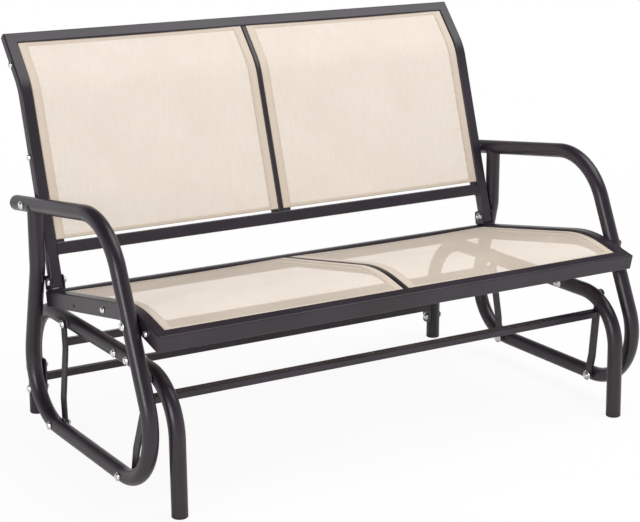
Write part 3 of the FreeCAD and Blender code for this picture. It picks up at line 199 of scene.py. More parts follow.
@dataclass(frozen=True)
class WovenSling(Finish):
    """Vinyl-coated polyester yarn in an open plain weave: matt, with gaps that show what is behind.

    The yarns are about 1 mm apart, too fine to show, so the weave is drawn at two and a half
    times that, and its gaps are a share of the light that passes. Light crosses the upper and the
    lower face of the cloth, so the share that passes is that of one face squared. Hems are two
    layers, so little passes there, and their colour is also painted a shade darker: painted shade
    for the light that they hold back and for the bar under them.
    """

    name: str = "woven_sling"
    yarn: str = "#E6D8C8"
    shaded_yarn: str = "#DFD0BF"
    # hem: the yarn's colour painted darker, as painted shade on the two-layer hems over their bars
    hem: str = "#D5C6B6"
    yarn_mm: float = 2.5
    yarn_depth_mm: float = 0.25
    slubs_per_metre: tuple[float, float] = (240.0, 24.0)
    cloud_mm: float = 140.0
    gap_shade: float = 0.97
    cover: float = 0.5
    hem_cover: float = 0.93

    def shade(self, tree: NodeTree) -> Node:
        """Add the weave, slubs and clouds on the cloth's own UV map, which is in metres.

        The attribute layers is 0 on plain cloth and 1 on hems, where it lowers the light that passes and
        mixes in the hems' painted shade.

        Args:
            tree: The material's node tree.

        Returns:
            The shader.
        """
        cloth = add(tree, "UVMap", uv_map="cloth").outputs["UV"]
        waves = [add(tree, "TexWave", {"Vector": cloth, "Scale": 1 / (2 * math.pi * self.yarn_mm * MM),
                                       "Distortion": 0.6, "Detail": 1.0, "Detail Scale": 2.0},
                     bands_direction=direction) for direction in ("X", "Y")]
        weave = add(tree, "Math", {0: waves[0].outputs["Fac"], 1: waves[1].outputs["Fac"]},
                    operation="MULTIPLY").outputs[0]
        streaks = add(tree, "Mapping", {"Vector": cloth, "Scale": (*self.slubs_per_metre, 1.0)})
        slubs = add(tree, "TexNoise", {"Vector": streaks.outputs["Vector"], "Scale": 1.0, "Detail": 3.0})
        clouds = add(tree, "TexNoise", {"Vector": cloth, "Scale": 1 / (self.cloud_mm * MM), "Detail": 2.0})
        mixed = add(tree, "Math", {0: slubs.outputs["Fac"], 1: clouds.outputs["Fac"]}, operation="MULTIPLY")
        plain = add(tree, "ValToRGB", {"Fac": mixed.outputs[0]},
                    ((0.12, self.shaded_yarn), (0.38, self.yarn)))
        layers = add(tree, "Attribute", attribute_name="layers").outputs["Fac"]
        # Hems take the darker hem colour: painted shade, not a colour of the cloth itself.
        doubled = add(tree, "Mix", {0: layers, 6: plain.outputs["Color"], 7: linear(self.hem)},
                      data_type="RGBA")
        dimmed = add(tree, "MapRange", {"Value": weave, "To Min": self.gap_shade, "To Max": 1.0})
        veil = add(tree, "MapRange", {"Value": layers, "To Min": self.cover, "To Max": self.hem_cover})
        colour = add(tree, "Mix", {0: 1.0, 6: doubled.outputs[2], 7: dimmed.outputs["Result"]},
                     data_type="RGBA", blend_type="MULTIPLY")
        bump = add(tree, "Bump", {"Height": weave, "Strength": 0.35, "Distance": self.yarn_depth_mm * MM})
        return add(tree, "BsdfPrincipled", {
            "Base Color": colour.outputs[2], "Roughness": 0.72, "IOR": 1.46, "Sheen Weight": 0.15,
            "Sheen Roughness": 0.5, "Alpha": veil.outputs["Result"], "Normal": bump.outputs["Normal"]})


def seen_rays(tree: NodeTree) -> NodeSocket:
    """Tell the rays that the camera sees by from the ones that light the bench.

    Args:
        tree: The material's or world's node tree.

    Returns:
        An output that is 1 for camera and transmission rays, and 0 for others.
    """
    path = add(tree, "LightPath")
    return add(tree, "Math", {0: path.outputs["Is Camera Ray"], 1: path.outputs["Is Transmission Ray"]},
               operation="MAXIMUM").outputs[0]


@dataclass(frozen=True)
class PaleFloor(Finish):
    """A matt floor that takes the bench's shadow, and that the camera sees as white farther out."""

    name: str = "pale_floor"
    dark: str = "#F1F0EE"
    light: str = "#F4F3F1"
    grains_per_metre: float = 3.0
    shadow_reach_m: float = 1.1
    glow: float = 0.9

    def shade(self, tree: NodeTree) -> Node:
        """Add the matt floor and a white glow, which grows up to three times the shadow's reach.

        Args:
            tree: The material's node tree.

        Returns:
            The shader.
        """
        places = add(tree, "TexCoord").outputs["Object"]
        away = add(tree, "VectorMath", {0: places}, operation="LENGTH")
        white = add(tree, "MapRange", {"Value": away.outputs["Value"], "From Min": self.shadow_reach_m,
                                       "From Max": 3 * self.shadow_reach_m, "To Min": self.glow},
                    interpolation_type="SMOOTHSTEP")
        grain = add(tree, "TexNoise", {"Vector": places, "Scale": self.grains_per_metre})
        colour = add(tree, "ValToRGB", {"Fac": grain.outputs["Fac"]}, ((0.3, self.dark), (0.7, self.light)))
        matt = add(tree, "BsdfDiffuse", {"Color": colour.outputs["Color"]})
        glow = add(tree, "Emission", {"Color": WHITE, "Strength": 1.0})
        seen = add(tree, "Math", {0: seen_rays(tree), 1: white.outputs["Result"]}, operation="MULTIPLY")
        return add(tree, "MixShader", {0: seen.outputs[0], 1: matt.outputs[0], 2: glow.outputs[0]})


FINISHES: dict[Slot, Finish] = {
    # Polyester powder coat on steel tube, sprayed and baked: satin, with a fine orange peel. The
    # peel is about 1.5 mm across, too fine to show, so it is drawn twice as coarse.
    Slot.PAINT: Grained("charcoal_powder_coat", ((0.3, "#1D171F"), (0.5, "#251D27"), (0.72, "#2E2531")),
                        (0.24, 0.4), 160.0, 4.0, grain_mm=3.0, bump=0.22, bump_depth_mm=0.12),
    Slot.SLING: WovenSling(),
    # Bright zinc on cold-formed steel: its spots are brighter and smoother, or duller and rougher.
    Slot.ZINC: Grained("bright_zinc", ((0.35, "#D9DADC"), (0.6, "#F3F3F4")), (0.32, 0.14), 2.5, 3.0,
                       grain_mm=2.5, grain_detail=3.0, bump=0.0, metallic=1.0),
    # Injection-moulded plastics, with a fine spark texture from the mould.
    Slot.PLUG: Grained("black_polyethylene", ((0.3, "#19191A"), (0.7, "#232324")), (0.5, 0.5)),
    Slot.BUSH: Grained("natural_nylon", ((0.3, "#CBC7BA"), (0.7, "#DAD7CC")), (0.45, 0.45)),
}
# Bonded polyester thread: a shade darker than the cloth, dull, with the bumps of its twist.
THREAD = Grained("sewing_thread", ((0.0, "#CBBFAE"), (1.0, "#CBBFAE")), (0.55, 0.55), grain_mm=0.8,
                 bump=0.3)


# Surfaces

def tube_quads(rings: int, sides: int, closed: bool = False) -> np.ndarray:
    """Quads between rings of points that are stored ring by ring.

    Args:
        rings: Number of rings.
        sides: Points in each ring, the last of which joins the first.
        closed: Whether the last ring joins the first too.

    Returns:
        Point numbers, four for each quad.
    """
    first, second = np.meshgrid(np.arange(rings if closed else rings - 1), np.arange(sides), indexing="ij")
    below, beside = (first + 1) % rings, (second + 1) % sides
    corners = np.stack([first, first, below, below]) * sides + np.stack([second, beside, beside, second])
    return corners.reshape(4, -1).T


def joined(parts: list[Surface]) -> Surface:
    """Join shapes into one mesh.

    Args:
        parts: The points and quads of each shape.

    Returns:
        All points, and all quads with each shape's numbers moved on by the points before it.
    """
    starts = np.cumsum([0] + [len(points) for points, _ in parts])
    quads = [some + start for (_, some), start in zip(parts, starts)]
    return np.concatenate([points for points, _ in parts]), np.concatenate(quads)


def add_object(name: str, data: ID) -> Object:
    """Put a mesh, a lamp or a camera into the scene.

    Args:
        name: The object's name.
        data: What it shows.

    Returns:
        The new object.
    """
    thing = bpy.data.objects.new(name, data)
    bpy.context.scene.collection.objects.link(thing)
    return thing


def make_piece(name: str, surface: Surface, material: Material, body: str) -> Object:
    """Put a surface into a mesh object that rides on a body.

    Args:
        name: The piece's name.
        surface: Its points and quads.
        material: Its finish.
        body: The body that it moves with.

    Returns:
        The new object.
    """
    points, quads = surface
    mesh = bpy.data.meshes.new(name)
    mesh.vertices.add(len(points))
    mesh.vertices.foreach_set("co", np.asarray(points, dtype=np.float32).ravel())
    mesh.loops.add(quads.size)
    mesh.loops.foreach_set("vertex_index", quads.astype(np.int32).ravel())
    mesh.polygons.add(len(quads))
    mesh.polygons.foreach_set("loop_start", np.arange(0, quads.size, 4, dtype=np.int32))
    mesh.polygons.foreach_set("use_smooth", np.ones(len(quads), dtype=bool))
    mesh.update(calc_edges=True)
    mesh.validate()
    mesh.materials.append(material)
    piece = add_object(name, mesh)
    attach(piece, body)
    return piece


def unit(vectors: np.ndarray) -> np.ndarray:
    """Each vector divided by its length."""
    return vectors / np.linalg.norm(vectors, axis=-1, keepdims=True)


def quarter_turn(vectors: np.ndarray) -> np.ndarray:
    """Each pair of Y and Z turned by a right angle."""
    return np.stack([-vectors[..., 1], vectors[..., 0]], axis=-1)


def toward(start: tuple[float, ...], end: tuple[float, ...]) -> np.ndarray:
    """The unit vector from one place to another."""
    return unit(np.subtract(end, start))


@dataclass(frozen=True)
class BentLine:
    """A line in the YZ plane through three corners, with a tangent arc at the middle one."""

    corners: tuple[tuple[float, float], ...]
    bend: float

    def sample(self, count: int) -> Triple:
        """Points at even steps along the line.

        The arc starts and ends one tangent length from the corner, which is the radius divided
        by the tangent of half the angle between the two runs, and turns about a centre on their
        bisector.

        Args:
            count: Number of points.

        Returns:
            Points, directions and distances from the start.
        """
        start, corner, end = (np.array(place) for place in self.corners)
        back, ahead = unit(start - corner), unit(end - corner)
        half = math.acos(float(back @ ahead)) / 2
        reach = self.bend / math.tan(half)
        centre = corner + unit(back + ahead) * self.bend / math.sin(half)
        turn = math.pi - 2 * half
        first_run, last_run = (float(np.linalg.norm(place - corner)) - reach for place in (start, end))
        total = first_run + self.bend * turn + last_run
        distance = np.linspace(0, total, count)
        first = corner + back * reach
        outward = (first - centre) / self.bend
        angle = np.clip((distance - first_run) / self.bend, 0, turn)[:, None]
        direction = -back * np.cos(angle) - outward * np.sin(angle)
        on_arc = centre + self.bend * (outward * np.cos(angle) - back * np.sin(angle))
        before = np.minimum(distance - first_run, 0)[:, None]
        after = np.maximum(distance - first_run - self.bend * turn, 0)[:, None]
        return on_arc + before * -back + after * ahead, direction, distance


# The bench's sizes

@dataclass(frozen=True)
class Layout:
    """Driving sizes of the bench.

    Places are pairs of Y and Z, and Y counts from the middle between the feet. A centre rail's
    pair is its drop below the frame's face and its height.
    """

    feet_middle_y: float = -8.42
    tube_radius: float = 16.0
    seat_gap: float = 0.2
    armrest_end: tuple[float, float] = (273.0, 489.8)
    armrest_corner: tuple[float, float] = (-169.0, 550.5)
    upright_y: float = 179.0
    loop_half_width: float = 580.5
    seat_rear: tuple[float, float] = (178.0, 320.0)
    seat_peak: tuple[float, float] = (-211.0, 388.0)
    seat_front: tuple[float, float] = (-341.0, 357.0)
    seat_bend: float = 275.0
    seat_inner: float = 539.3
    rear_rail_depth: float = 20.0
    rear_rail_height: float = 30.0
    front_rail_depth: float = 25.0
    centre_rail_width: float = 12.0
    seat_centre_rail: tuple[float, float] = (4.0, 20.0)
    back_centre_rail: tuple[float, float] = (2.0, 16.0)
    back_foot: tuple[float, float] = (150.5, 334.0)
    back_corner: tuple[float, float] = (277.3, 734.1)
    back_top: tuple[float, float] = (359.4, 829.8)
    back_bend: float = 120.0
    bottom_rail_height: float = 419.3
    cross_rail_height: float = 25.0
    back_inner: float = 536.1
    back_rail_depth: float = 20.0
    rear_top: tuple[float, float] = (128.4, 259.0)
    rear_bottom: tuple[float, float] = (112.2, 52.0)
    rear_bar_drop: float = 37.5
    front_top: tuple[float, float] = (-259.0, 254.27)
    front_bottom: tuple[float, float] = (-215.6, 52.0)
    front_bar_drop: float = 48.0
    link_face: float = 546.4
    square: float = 16.0
    stretcher: tuple[float, float] = (334.0, 85.0)
    stretcher_plate_face: float = 508.8
    sling_thickness: float = 1.2
    bar_width: float = 18.0
    bar_thickness: float = 3.0

    def seat_line(self) -> BentLine:
        """The line of the seat's top face, from the rear rail to the front rail.

        Returns:
            The line.
        """
        rear, peak, front = self.seat_rear, self.seat_peak, self.seat_front
        start = rear + toward(rear, peak) * (self.rear_rail_depth + self.seat_gap)
        end = front + toward(front, peak) * (self.front_rail_depth + self.seat_gap)
        return BentLine((tuple(start), peak, tuple(end)), self.seat_bend)

    def back_line(self, lift: float) -> BentLine:
        """The line of the back's front face, from the bottom rail to the top rail.

        Args:
            lift: Distance of the line's start above the bottom rail.

        Returns:
            The line.
        """
        foot, corner, top = self.back_foot, self.back_corner, self.back_top
        lean = toward(foot, corner)
        low = foot + lean * ((self.bottom_rail_height - foot[1]) / lean[1] + lift)
        end = top + toward(top, corner) * (self.cross_rail_height + self.seat_gap)
        return BentLine((tuple(low), corner, tuple(end)), self.back_bend)

    def metres(self, x: np.ndarray, y: np.ndarray, z: np.ndarray) -> np.ndarray:
        """Points in Blender's metres from millimetre coordinates."""
        y, x, z = np.broadcast_arrays(np.asarray(y) + self.feet_middle_y, x, z)
        return np.stack([x, y, z], axis=-1) * MM


SIZES = Layout()


# Slings

@dataclass(frozen=True)
class SlingPanel:
    """One sling: cloth stretched between two hem bars, with folded and stitched ends.

    Its two faces meet at the hem seams under the bars, so each row of its points is a ring. The
    drop is the upper face's depth below the frame's face, and front_side is 1 where that face
    looks to the front as the line climbs, else -1.
    """

    part: str
    side: Side
    line: BentLine
    outer_edge: float
    drop: float
    front_side: int
    sag: float
    end_hem: float
    centre_edge: float = 6.2
    hem: float = 20.0
    turn_radius: float = 1.6
    fine_strip: float = 6.0
    pucker: float = 0.5
    pucker_pitch: float = 23.0
    pucker_drift: float = 0.7
    pucker_drift_length: float = 31.0
    pucker_fade: float = 10.0
    fold_rise: float = 0.8
    fold_edge: float = 0.5
    stitch_pitch: float = 5.0
    stitch_rise: float = 0.12
    side_rows: tuple[float, float] = (1.0, 4.5)
    end_rows: tuple[float, float] = (2.0, 5.5)
    steps: int = 150
    hem_steps: int = 5
    turn_steps: int = 9
    strip_steps: int = 10
    middle_steps: int = 60

    @property
    def low_x(self) -> float:
        """The panel's edge with the lower X."""
        return min(self.side * self.centre_edge, self.side * self.outer_edge)

    @property
    def width(self) -> float:
        """The distance between the panel's edges."""
        return self.outer_edge - self.centre_edge

    @property
    def flat(self) -> tuple[float, float]:
        """Width and length of the cut cloth in metres, with its side seams and both end hems."""
        width = np.hypot(*(np.diff(part) for part in self.ribbon()[:2])).sum()
        return float(width) * MM, float(self.line.sample(self.steps)[2][-1] + 2 * self.end_hem) * MM

    def ribbon(self) -> Triple:
        """The cloth's cross-section: a line that starts at one hem's seam under the bar, goes
        round the bar's outer edge, crosses the panel and ends under the other bar.

        Returns:
            Distance across, depth below the frame's face, and how much of the sag applies.
        """
        thick, bar = SIZES.sling_thickness, SIZES.bar_width
        top = self.drop + thick / 2
        under = top + thick + SIZES.bar_thickness + SIZES.seat_gap
        middle, half = (top + under) / 2, (under - top) / 2
        seam = np.linspace(self.hem, bar, self.hem_steps)
        rise = np.linspace(0, 1, self.hem_steps)
        below = np.linspace(bar, self.turn_radius, self.hem_steps)[1:]
        angle = np.linspace(math.pi / 2, -math.pi / 2, self.turn_steps)[1:-1]
        edge_x = np.concatenate([seam, below, self.turn_radius * (1 - np.cos(angle)) + thick / 2])
        edge_depth = np.concatenate([top + thick + (under - top - thick) * rise,
                                     np.full(len(below), under), middle + half * np.sin(angle)])
        strip, width = self.hem + self.fine_strip, self.width
        across = np.concatenate([np.linspace(self.turn_radius, strip, self.strip_steps),
                                 np.linspace(strip, width - strip, self.middle_steps)[1:-1],
                                 np.linspace(width - strip, width - self.turn_radius, self.strip_steps)])
        reach = np.concatenate([edge_x, across, width - edge_x[::-1]])
        depth = np.concatenate([edge_depth, np.full(len(across), top), edge_depth[::-1]])
        inner = np.clip((across - bar) / (width - 2 * bar), 0, 1)
        hollow = np.concatenate([np.zeros(len(edge_x)), inner, np.zeros(len(edge_x))])
        return reach, depth, hollow

    def surface(self) -> tuple[np.ndarray, np.ndarray, np.ndarray, np.ndarray]:
        """Carry the cross-section along the frame's line.

        The middle hangs by the sag times four times the product of the distances from the two
        bars, as shares of the width. Beside each seam a sine of the length puckers the cloth, and
        fades out with the distance from the seam. The cloth is one layer thick, and nearly two in
        the folded ends.

        Returns:
            Points, quads, UV of each point in metres, and how doubled each point is.
        """
        reach, depth, hollow = self.ribbon()
        places, heading, distance = self.line.sample(self.steps)
        normal = self.front_side * quarter_turn(heading)
        edge = np.minimum(reach, self.width - reach)
        free = (edge > SIZES.bar_width) & (hollow > 0)
        fade = np.exp(-np.clip(edge - self.hem, 0, None) / self.pucker_fade) * free
        wave = self.pucker * np.sin(2 * math.pi * distance / self.pucker_pitch
                                    + self.pucker_drift * np.sin(distance / self.pucker_drift_length))
        drop = depth[None] + self.sag * 4 * (hollow * (1 - hollow))[None] + wave[:, None] * fade[None]
        along_x, along_depth = np.gradient(reach), np.gradient(depth)
        length = np.hypot(along_x, along_depth)
        side_x, side_depth = -along_depth / length, along_x / length
        thick = SIZES.sling_thickness
        end = np.minimum(distance, distance[-1] - distance)
        folded = 1 / (1 + np.exp((end - self.end_hem) / self.fold_edge))
        sheets = []
        for offset in (np.full(len(distance), -thick / 2), thick / 2 + self.fold_rise * thick * folded):
            x = self.low_x + reach[None] + side_x[None] * offset[:, None]
            fall = drop + side_depth[None] * offset[:, None]
            y = places[:, 0, None] - normal[:, 0, None] * fall
            z = places[:, 1, None] - normal[:, 1, None] * fall
            sheets.append(SIZES.metres(x, y, z))
        rows, columns = len(distance), len(reach)
        points = np.concatenate([sheets[0], sheets[1][:, ::-1]], axis=1)
        one = np.arange(columns - 1)
        cap = np.stack([one, one + 1, 2 * columns - 2 - one, 2 * columns - 1 - one], axis=1)
        quads = np.concatenate([tube_quads(rows, 2 * columns), cap[:, ::-1],
                                cap + (rows - 1) * 2 * columns])
        run = np.concatenate([[0], np.cumsum(np.hypot(np.diff(reach), np.diff(depth)))]) * MM
        u, v = np.meshgrid(np.concatenate([run, run[::-1]]), distance * MM)
        # Hems and folded ends are two layers: this mask lowers the light that passes there and paints them a
        # shade darker, as painted shade.
        hemmed = np.maximum((edge < self.hem)[None] * 1.0, folded[:, None])
        doubled = np.concatenate([hemmed, hemmed[:, ::-1]], axis=1)
        return points.reshape(-1, 3), quads, np.stack([u.ravel(), v.ravel()], axis=1), doubled.ravel()

    def seam_rows(self) -> list[Triple]:
        """Places of the stitches: two rows along each side hem and two across each folded end.

        Returns:
            For each row its places, its directions and the cloth's outward normals.
        """
        places, heading, distance = self.line.sample(4 * self.steps)
        normal = self.front_side * quarter_turn(heading)
        total, high_x = distance[-1], self.low_x + self.width
        lift = self.drop - self.stitch_rise
        along = np.arange(self.end_hem / 3, total - self.end_hem / 3, self.stitch_pitch)
        across = np.arange(self.low_x + self.hem, high_x - self.hem, self.stitch_pitch)
        share = (across - self.low_x - SIZES.bar_width) / (self.width - 2 * SIZES.bar_width)
        fall = lift + self.sag * 4 * share * (1 - share)
        lines = [(x, along, lift) for inset in self.side_rows
                 for x in (self.low_x + self.hem - inset, high_x - self.hem + inset)]
        lines += [(across, spot, fall) for inset in self.end_rows
                  for spot in (self.end_hem - inset, total - self.end_hem + inset)]
        rows = []
        for line in lines:
            x, spots, depth = np.broadcast_arrays(*line)
            path = np.stack([np.interp(spots, distance, column)
                             for column in (*places.T, *heading.T, *normal.T)])
            ways = pad_x(path[2:4]) if line[1] is along else np.tile([1.0, 0.0, 0.0], (len(x), 1))
            rows.append((SIZES.metres(x, path[0] - path[4] * depth, path[1] - path[5] * depth), ways,
                         pad_x(path[4:6])))
        return rows

    def build(self, cloth: Material, thread: Material) -> None:
        """Args:
            cloth: The finish of the cloth.
            thread: The finish of the stitches.
        """
        side = self.side.name.lower()
        name = f"{self.part}_cloth_{side}"
        points, quads, uv, doubled = self.surface()
        piece = make_piece(name, (points, quads), cloth, "seat")
        mesh = piece.data
        corners = np.empty(len(mesh.loops), dtype=np.int32)
        mesh.loops.foreach_get("vertex_index", corners)
        layer = mesh.uv_layers.new(name="cloth")
        layer.data.foreach_set("uv", uv[corners].astype(np.float32).ravel())
        mesh.attributes.new("layers", "FLOAT", "POINT").data.foreach_set("value", doubled.astype(np.float32))
        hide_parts(f"{self.part}_sling_{side}")
        seams = Stitching(name + "_stitches", self.seam_rows()).build(thread)
        self.flat
        LOG.info("%s: %.0f by %.0f mm of cloth", name, self.flat[0] / MM, self.flat[1] / MM)


def pad_x(pair: np.ndarray) -> np.ndarray:
    """Vectors in space from rows of Y and Z, with no X."""
    return np.stack([np.zeros_like(pair[0]), *pair], axis=1)


@dataclass(frozen=True)
class Stitching:
    """Lockstitches of one panel: short strands that dip into the cloth at both ends."""

    name: str
    rows: list[Triple]
    length: float = 3.6
    width: float = 0.8
    height: float = 0.5
    bluntness: float = 0.6
    smallest: float = 0.04
    rings: int = 5
    sides: int = 6

    def build(self, thread: Material) -> Object:
        """Make every stitch from one small spindle.

        The spindle's rings have the radius of a half circle, made blunt by a power under one, and
        it is wider than high. Its ends are closed by two quads each.

        Args:
            thread: The finish of the stitches.

        Returns:
            The piece.
        """
        along = np.linspace(-1, 1, self.rings)
        radius = np.clip(1 - along**2, self.smallest, 1) ** self.bluntness
        turn = np.arange(self.sides) / self.sides * 2 * math.pi
        shape = np.stack(np.broadcast_arrays(along[:, None] * self.length / 2,
                                             radius[:, None] * np.cos(turn) * self.width / 2,
                                             radius[:, None] * np.sin(turn) * self.height / 2), axis=-1)
        shape = shape.reshape(-1, 3) * MM
        places, ways, normals = (np.concatenate(part) for part in zip(*self.rows))
        axes = np.stack([unit(ways), unit(np.cross(normals, ways)), unit(normals)], axis=1)
        points = places[:, None] + np.einsum("kj,njc->nkc", shape, axes)
        start = np.array([[0, 3, 2, 1], [0, 5, 4, 3]])
        end = np.array([[0, 1, 2, 3], [0, 3, 4, 5]]) + (self.rings - 1) * self.sides
        quads = np.concatenate([tube_quads(self.rings, self.sides)[:, ::-1], start, end])
        return make_piece(self.name, joined([(one, quads) for one in points]), thread, "seat")


# Weld beads

@dataclass(frozen=True)
class WeldBead:
    """A fillet weld under the paint: a small closed rope of metal, rippled by each puddle."""

    path: np.ndarray
    outward: np.ndarray
    radius: float
    ripple: float = 0.12
    pitch: float = 2.6
    sides: int = 8

    def surface(self) -> Surface:
        """A tube round the path whose radius swells and falls once for each puddle.

        Returns:
            Points and quads.
        """
        tangent = unit(np.roll(self.path, -1, axis=0) - np.roll(self.path, 1, axis=0))
        distance = np.concatenate([[0], np.cumsum(np.linalg.norm(np.diff(self.path, axis=0), axis=1))]) / MM
        outward = unit(self.outward - tangent * np.sum(self.outward * tangent, axis=1, keepdims=True))
        across = np.cross(tangent, outward)
        radius = self.radius * (1 + self.ripple * np.cos(2 * math.pi * distance / self.pitch))
        turn = np.arange(self.sides) / self.sides * 2 * math.pi
        ring = np.cos(turn)[None, :, None] * outward[:, None] + np.sin(turn)[None, :, None] * across[:, None]
        points = self.path[:, None] + ring * (radius * MM)[:, None, None]
        return points.reshape(-1, 3), tube_quads(len(self.path), self.sides, closed=True)


@dataclass(frozen=True)
class TubeEnd:
    """The outline of a square or rectangular tube, in a plane where it is welded to a wall.

    The outline is a superellipse of a high power, which is a box with soft corners.
    """

    centre: np.ndarray
    first: np.ndarray
    second: np.ndarray
    width: float
    height: float
    power: int = 8
    steps: int = 160

    def bead(self, radius: float) -> WeldBead:
        """The bead round the outline.

        Args:
            radius: The bead's radius in millimetres.

        Returns:
            The bead.
        """
        angle = np.linspace(0, 2 * math.pi, self.steps, endpoint=False)
        cosine, sine = np.cos(angle), np.sin(angle)
        size = (np.abs(cosine) ** self.power + np.abs(sine) ** self.power) ** (-1 / self.power) / 2
        across = (size * cosine * self.width * MM)[:, None] * self.first
        up = (size * sine * self.height * MM)[:, None] * self.second
        return WeldBead(self.centre + across + up, unit(across + up), radius)


@dataclass(frozen=True)
class Welds:
    """The weld beads of the frame, each group a piece that rides on its body."""

    paint: Material
    cross_bead: float = 1.7
    slim_bead: float = 1.5
    saddle_bead: float = 1.8
    saddle_dip: float = 0.7
    saddle_steps: int = 180

    def build(self) -> None:
        """Make every bead."""
        square = (SIZES.square, SIZES.square)
        self.group("armrest_welds", "seat", self.armrest_saddles())
        for name, top, bottom, drop in (
                ("rear_hanger", SIZES.rear_top, SIZES.rear_bottom, SIZES.rear_bar_drop),
                ("front_hanger", SIZES.front_top, SIZES.front_bottom, SIZES.front_bar_drop)):
            hang = toward(top, bottom)
            self.group(name + "_welds", name,
                       self.both_ends(SIZES.link_face, top + hang * drop, hang, *square))
        self.group("stretcher_welds", "base", self.both_ends(
            SIZES.stretcher_plate_face, SIZES.stretcher, np.array([0.0, -1.0]), *square))
        self.group("seat_frame_welds", "seat", self.seat_rear_rail() + self.centre_rail(
            SIZES.seat_line(), *SIZES.seat_centre_rail, -1))
        self.group("back_frame_welds", "seat", self.back_bottom_rail() + self.centre_rail(
            SIZES.back_line(SIZES.seat_gap), *SIZES.back_centre_rail, 1))

    def group(self, name: str, body: str, beads: list[WeldBead]) -> None:
        """Join some beads into a piece."""
        make_piece(name, joined([bead.surface() for bead in beads]), self.paint, body)

    def both_ends(self, x: float, place: np.ndarray, down: np.ndarray, depth: float,
                  height: float) -> list[WeldBead]:
        """The beads at the two ends of a tube that runs from side to side.

        Args:
            x: Distance of the welded ends from the middle.
            place: The tube's axis, as Y and Z.
            down: Unit vector along the section's height, as Y and Z.
            depth: Section from front to back.
            height: Section along down.

        Returns:
            The right and the left bead.
        """
        first, second = np.array([0.0, *quarter_turn(down)]), np.array([0.0, *down])
        return [TubeEnd(SIZES.metres(side * x, *place), first, second, depth, height).bead(
            self.cross_bead) for side in Side]

    def seat_rear_rail(self) -> list[WeldBead]:
        """The beads between the seat's rear rail and the side rails.

        Returns:
            The right and the left bead.
        """
        forward = toward(SIZES.seat_rear, SIZES.seat_peak)
        down = quarter_turn(forward)
        place = SIZES.seat_rear + forward * SIZES.rear_rail_depth / 2 + down * SIZES.rear_rail_height / 2
        return self.both_ends(SIZES.seat_inner, place, down, SIZES.rear_rail_depth, SIZES.rear_rail_height)

    def back_bottom_rail(self) -> list[WeldBead]:
        """The beads between the back's bottom rail and the side rails.

        Returns:
            The right and the left bead.
        """
        foot = SIZES.back_foot
        lean = toward(foot, SIZES.back_corner)
        top = foot + lean * (SIZES.bottom_rail_height - foot[1]) / lean[1]
        place = top - lean * SIZES.cross_rail_height / 2 - quarter_turn(lean) * SIZES.back_rail_depth / 2
        return self.both_ends(SIZES.back_inner, place, -lean, SIZES.back_rail_depth, SIZES.cross_rail_height)

    def centre_rail(self, line: BentLine, drop: float, height: float, front_side: int) -> list[WeldBead]:
        """The beads at the two ends of a slim centre rail.

        Args:
            line: The frame's face, along which the rail runs.
            drop: The rail's depth below that face.
            height: The rail's section away from the face.
            front_side: 1 where the line climbs with its face to the front, else -1.

        Returns:
            The two beads.
        """
        beads = []
        for place, ahead in zip(*line.sample(2)[:2]):
            inward = -front_side * quarter_turn(ahead)
            centre = SIZES.metres(0, *(place + inward * (drop + height / 2)))
            beads.append(TubeEnd(centre, np.array([1.0, 0.0, 0.0]), np.array([0.0, *inward]),
                                 SIZES.centre_rail_width, height).bead(self.slim_bead))
        return beads

    def armrest_saddles(self) -> list[WeldBead]:
        """The beads where the uprights meet the armrests from below.

        Two round tubes of one radius cross there, so at each angle round the upright the bead
        lies below the armrest's axis by the radius times the sine of that angle. It bulges out
        and down.

        Returns:
            The right and the left bead.
        """
        (end_y, end_z), (corner_y, corner_z) = SIZES.armrest_end, SIZES.armrest_corner
        slope = (corner_z - end_z) / (end_y - corner_y)
        angle = np.linspace(0, 2 * math.pi, self.saddle_steps, endpoint=False)
        cosine, sine = np.cos(angle), np.sin(angle)
        radius = SIZES.tube_radius
        y = SIZES.upright_y + radius * sine
        z = end_z + (end_y - y) * slope - radius * np.abs(sine) * math.hypot(1, slope)
        outward = np.stack([cosine, sine, np.full_like(angle, -self.saddle_dip)], axis=1)
        return [WeldBead(SIZES.metres(side * SIZES.loop_half_width + radius * cosine, y, z), outward,
                         self.saddle_bead) for side in Side]


# Fasteners

@dataclass(frozen=True)
class Fastener:
    """Where one bolt or nut sits: its centre and its two ends along X, as distances from the middle."""

    side: Side
    y: float
    z: float
    inner: float
    outer: float


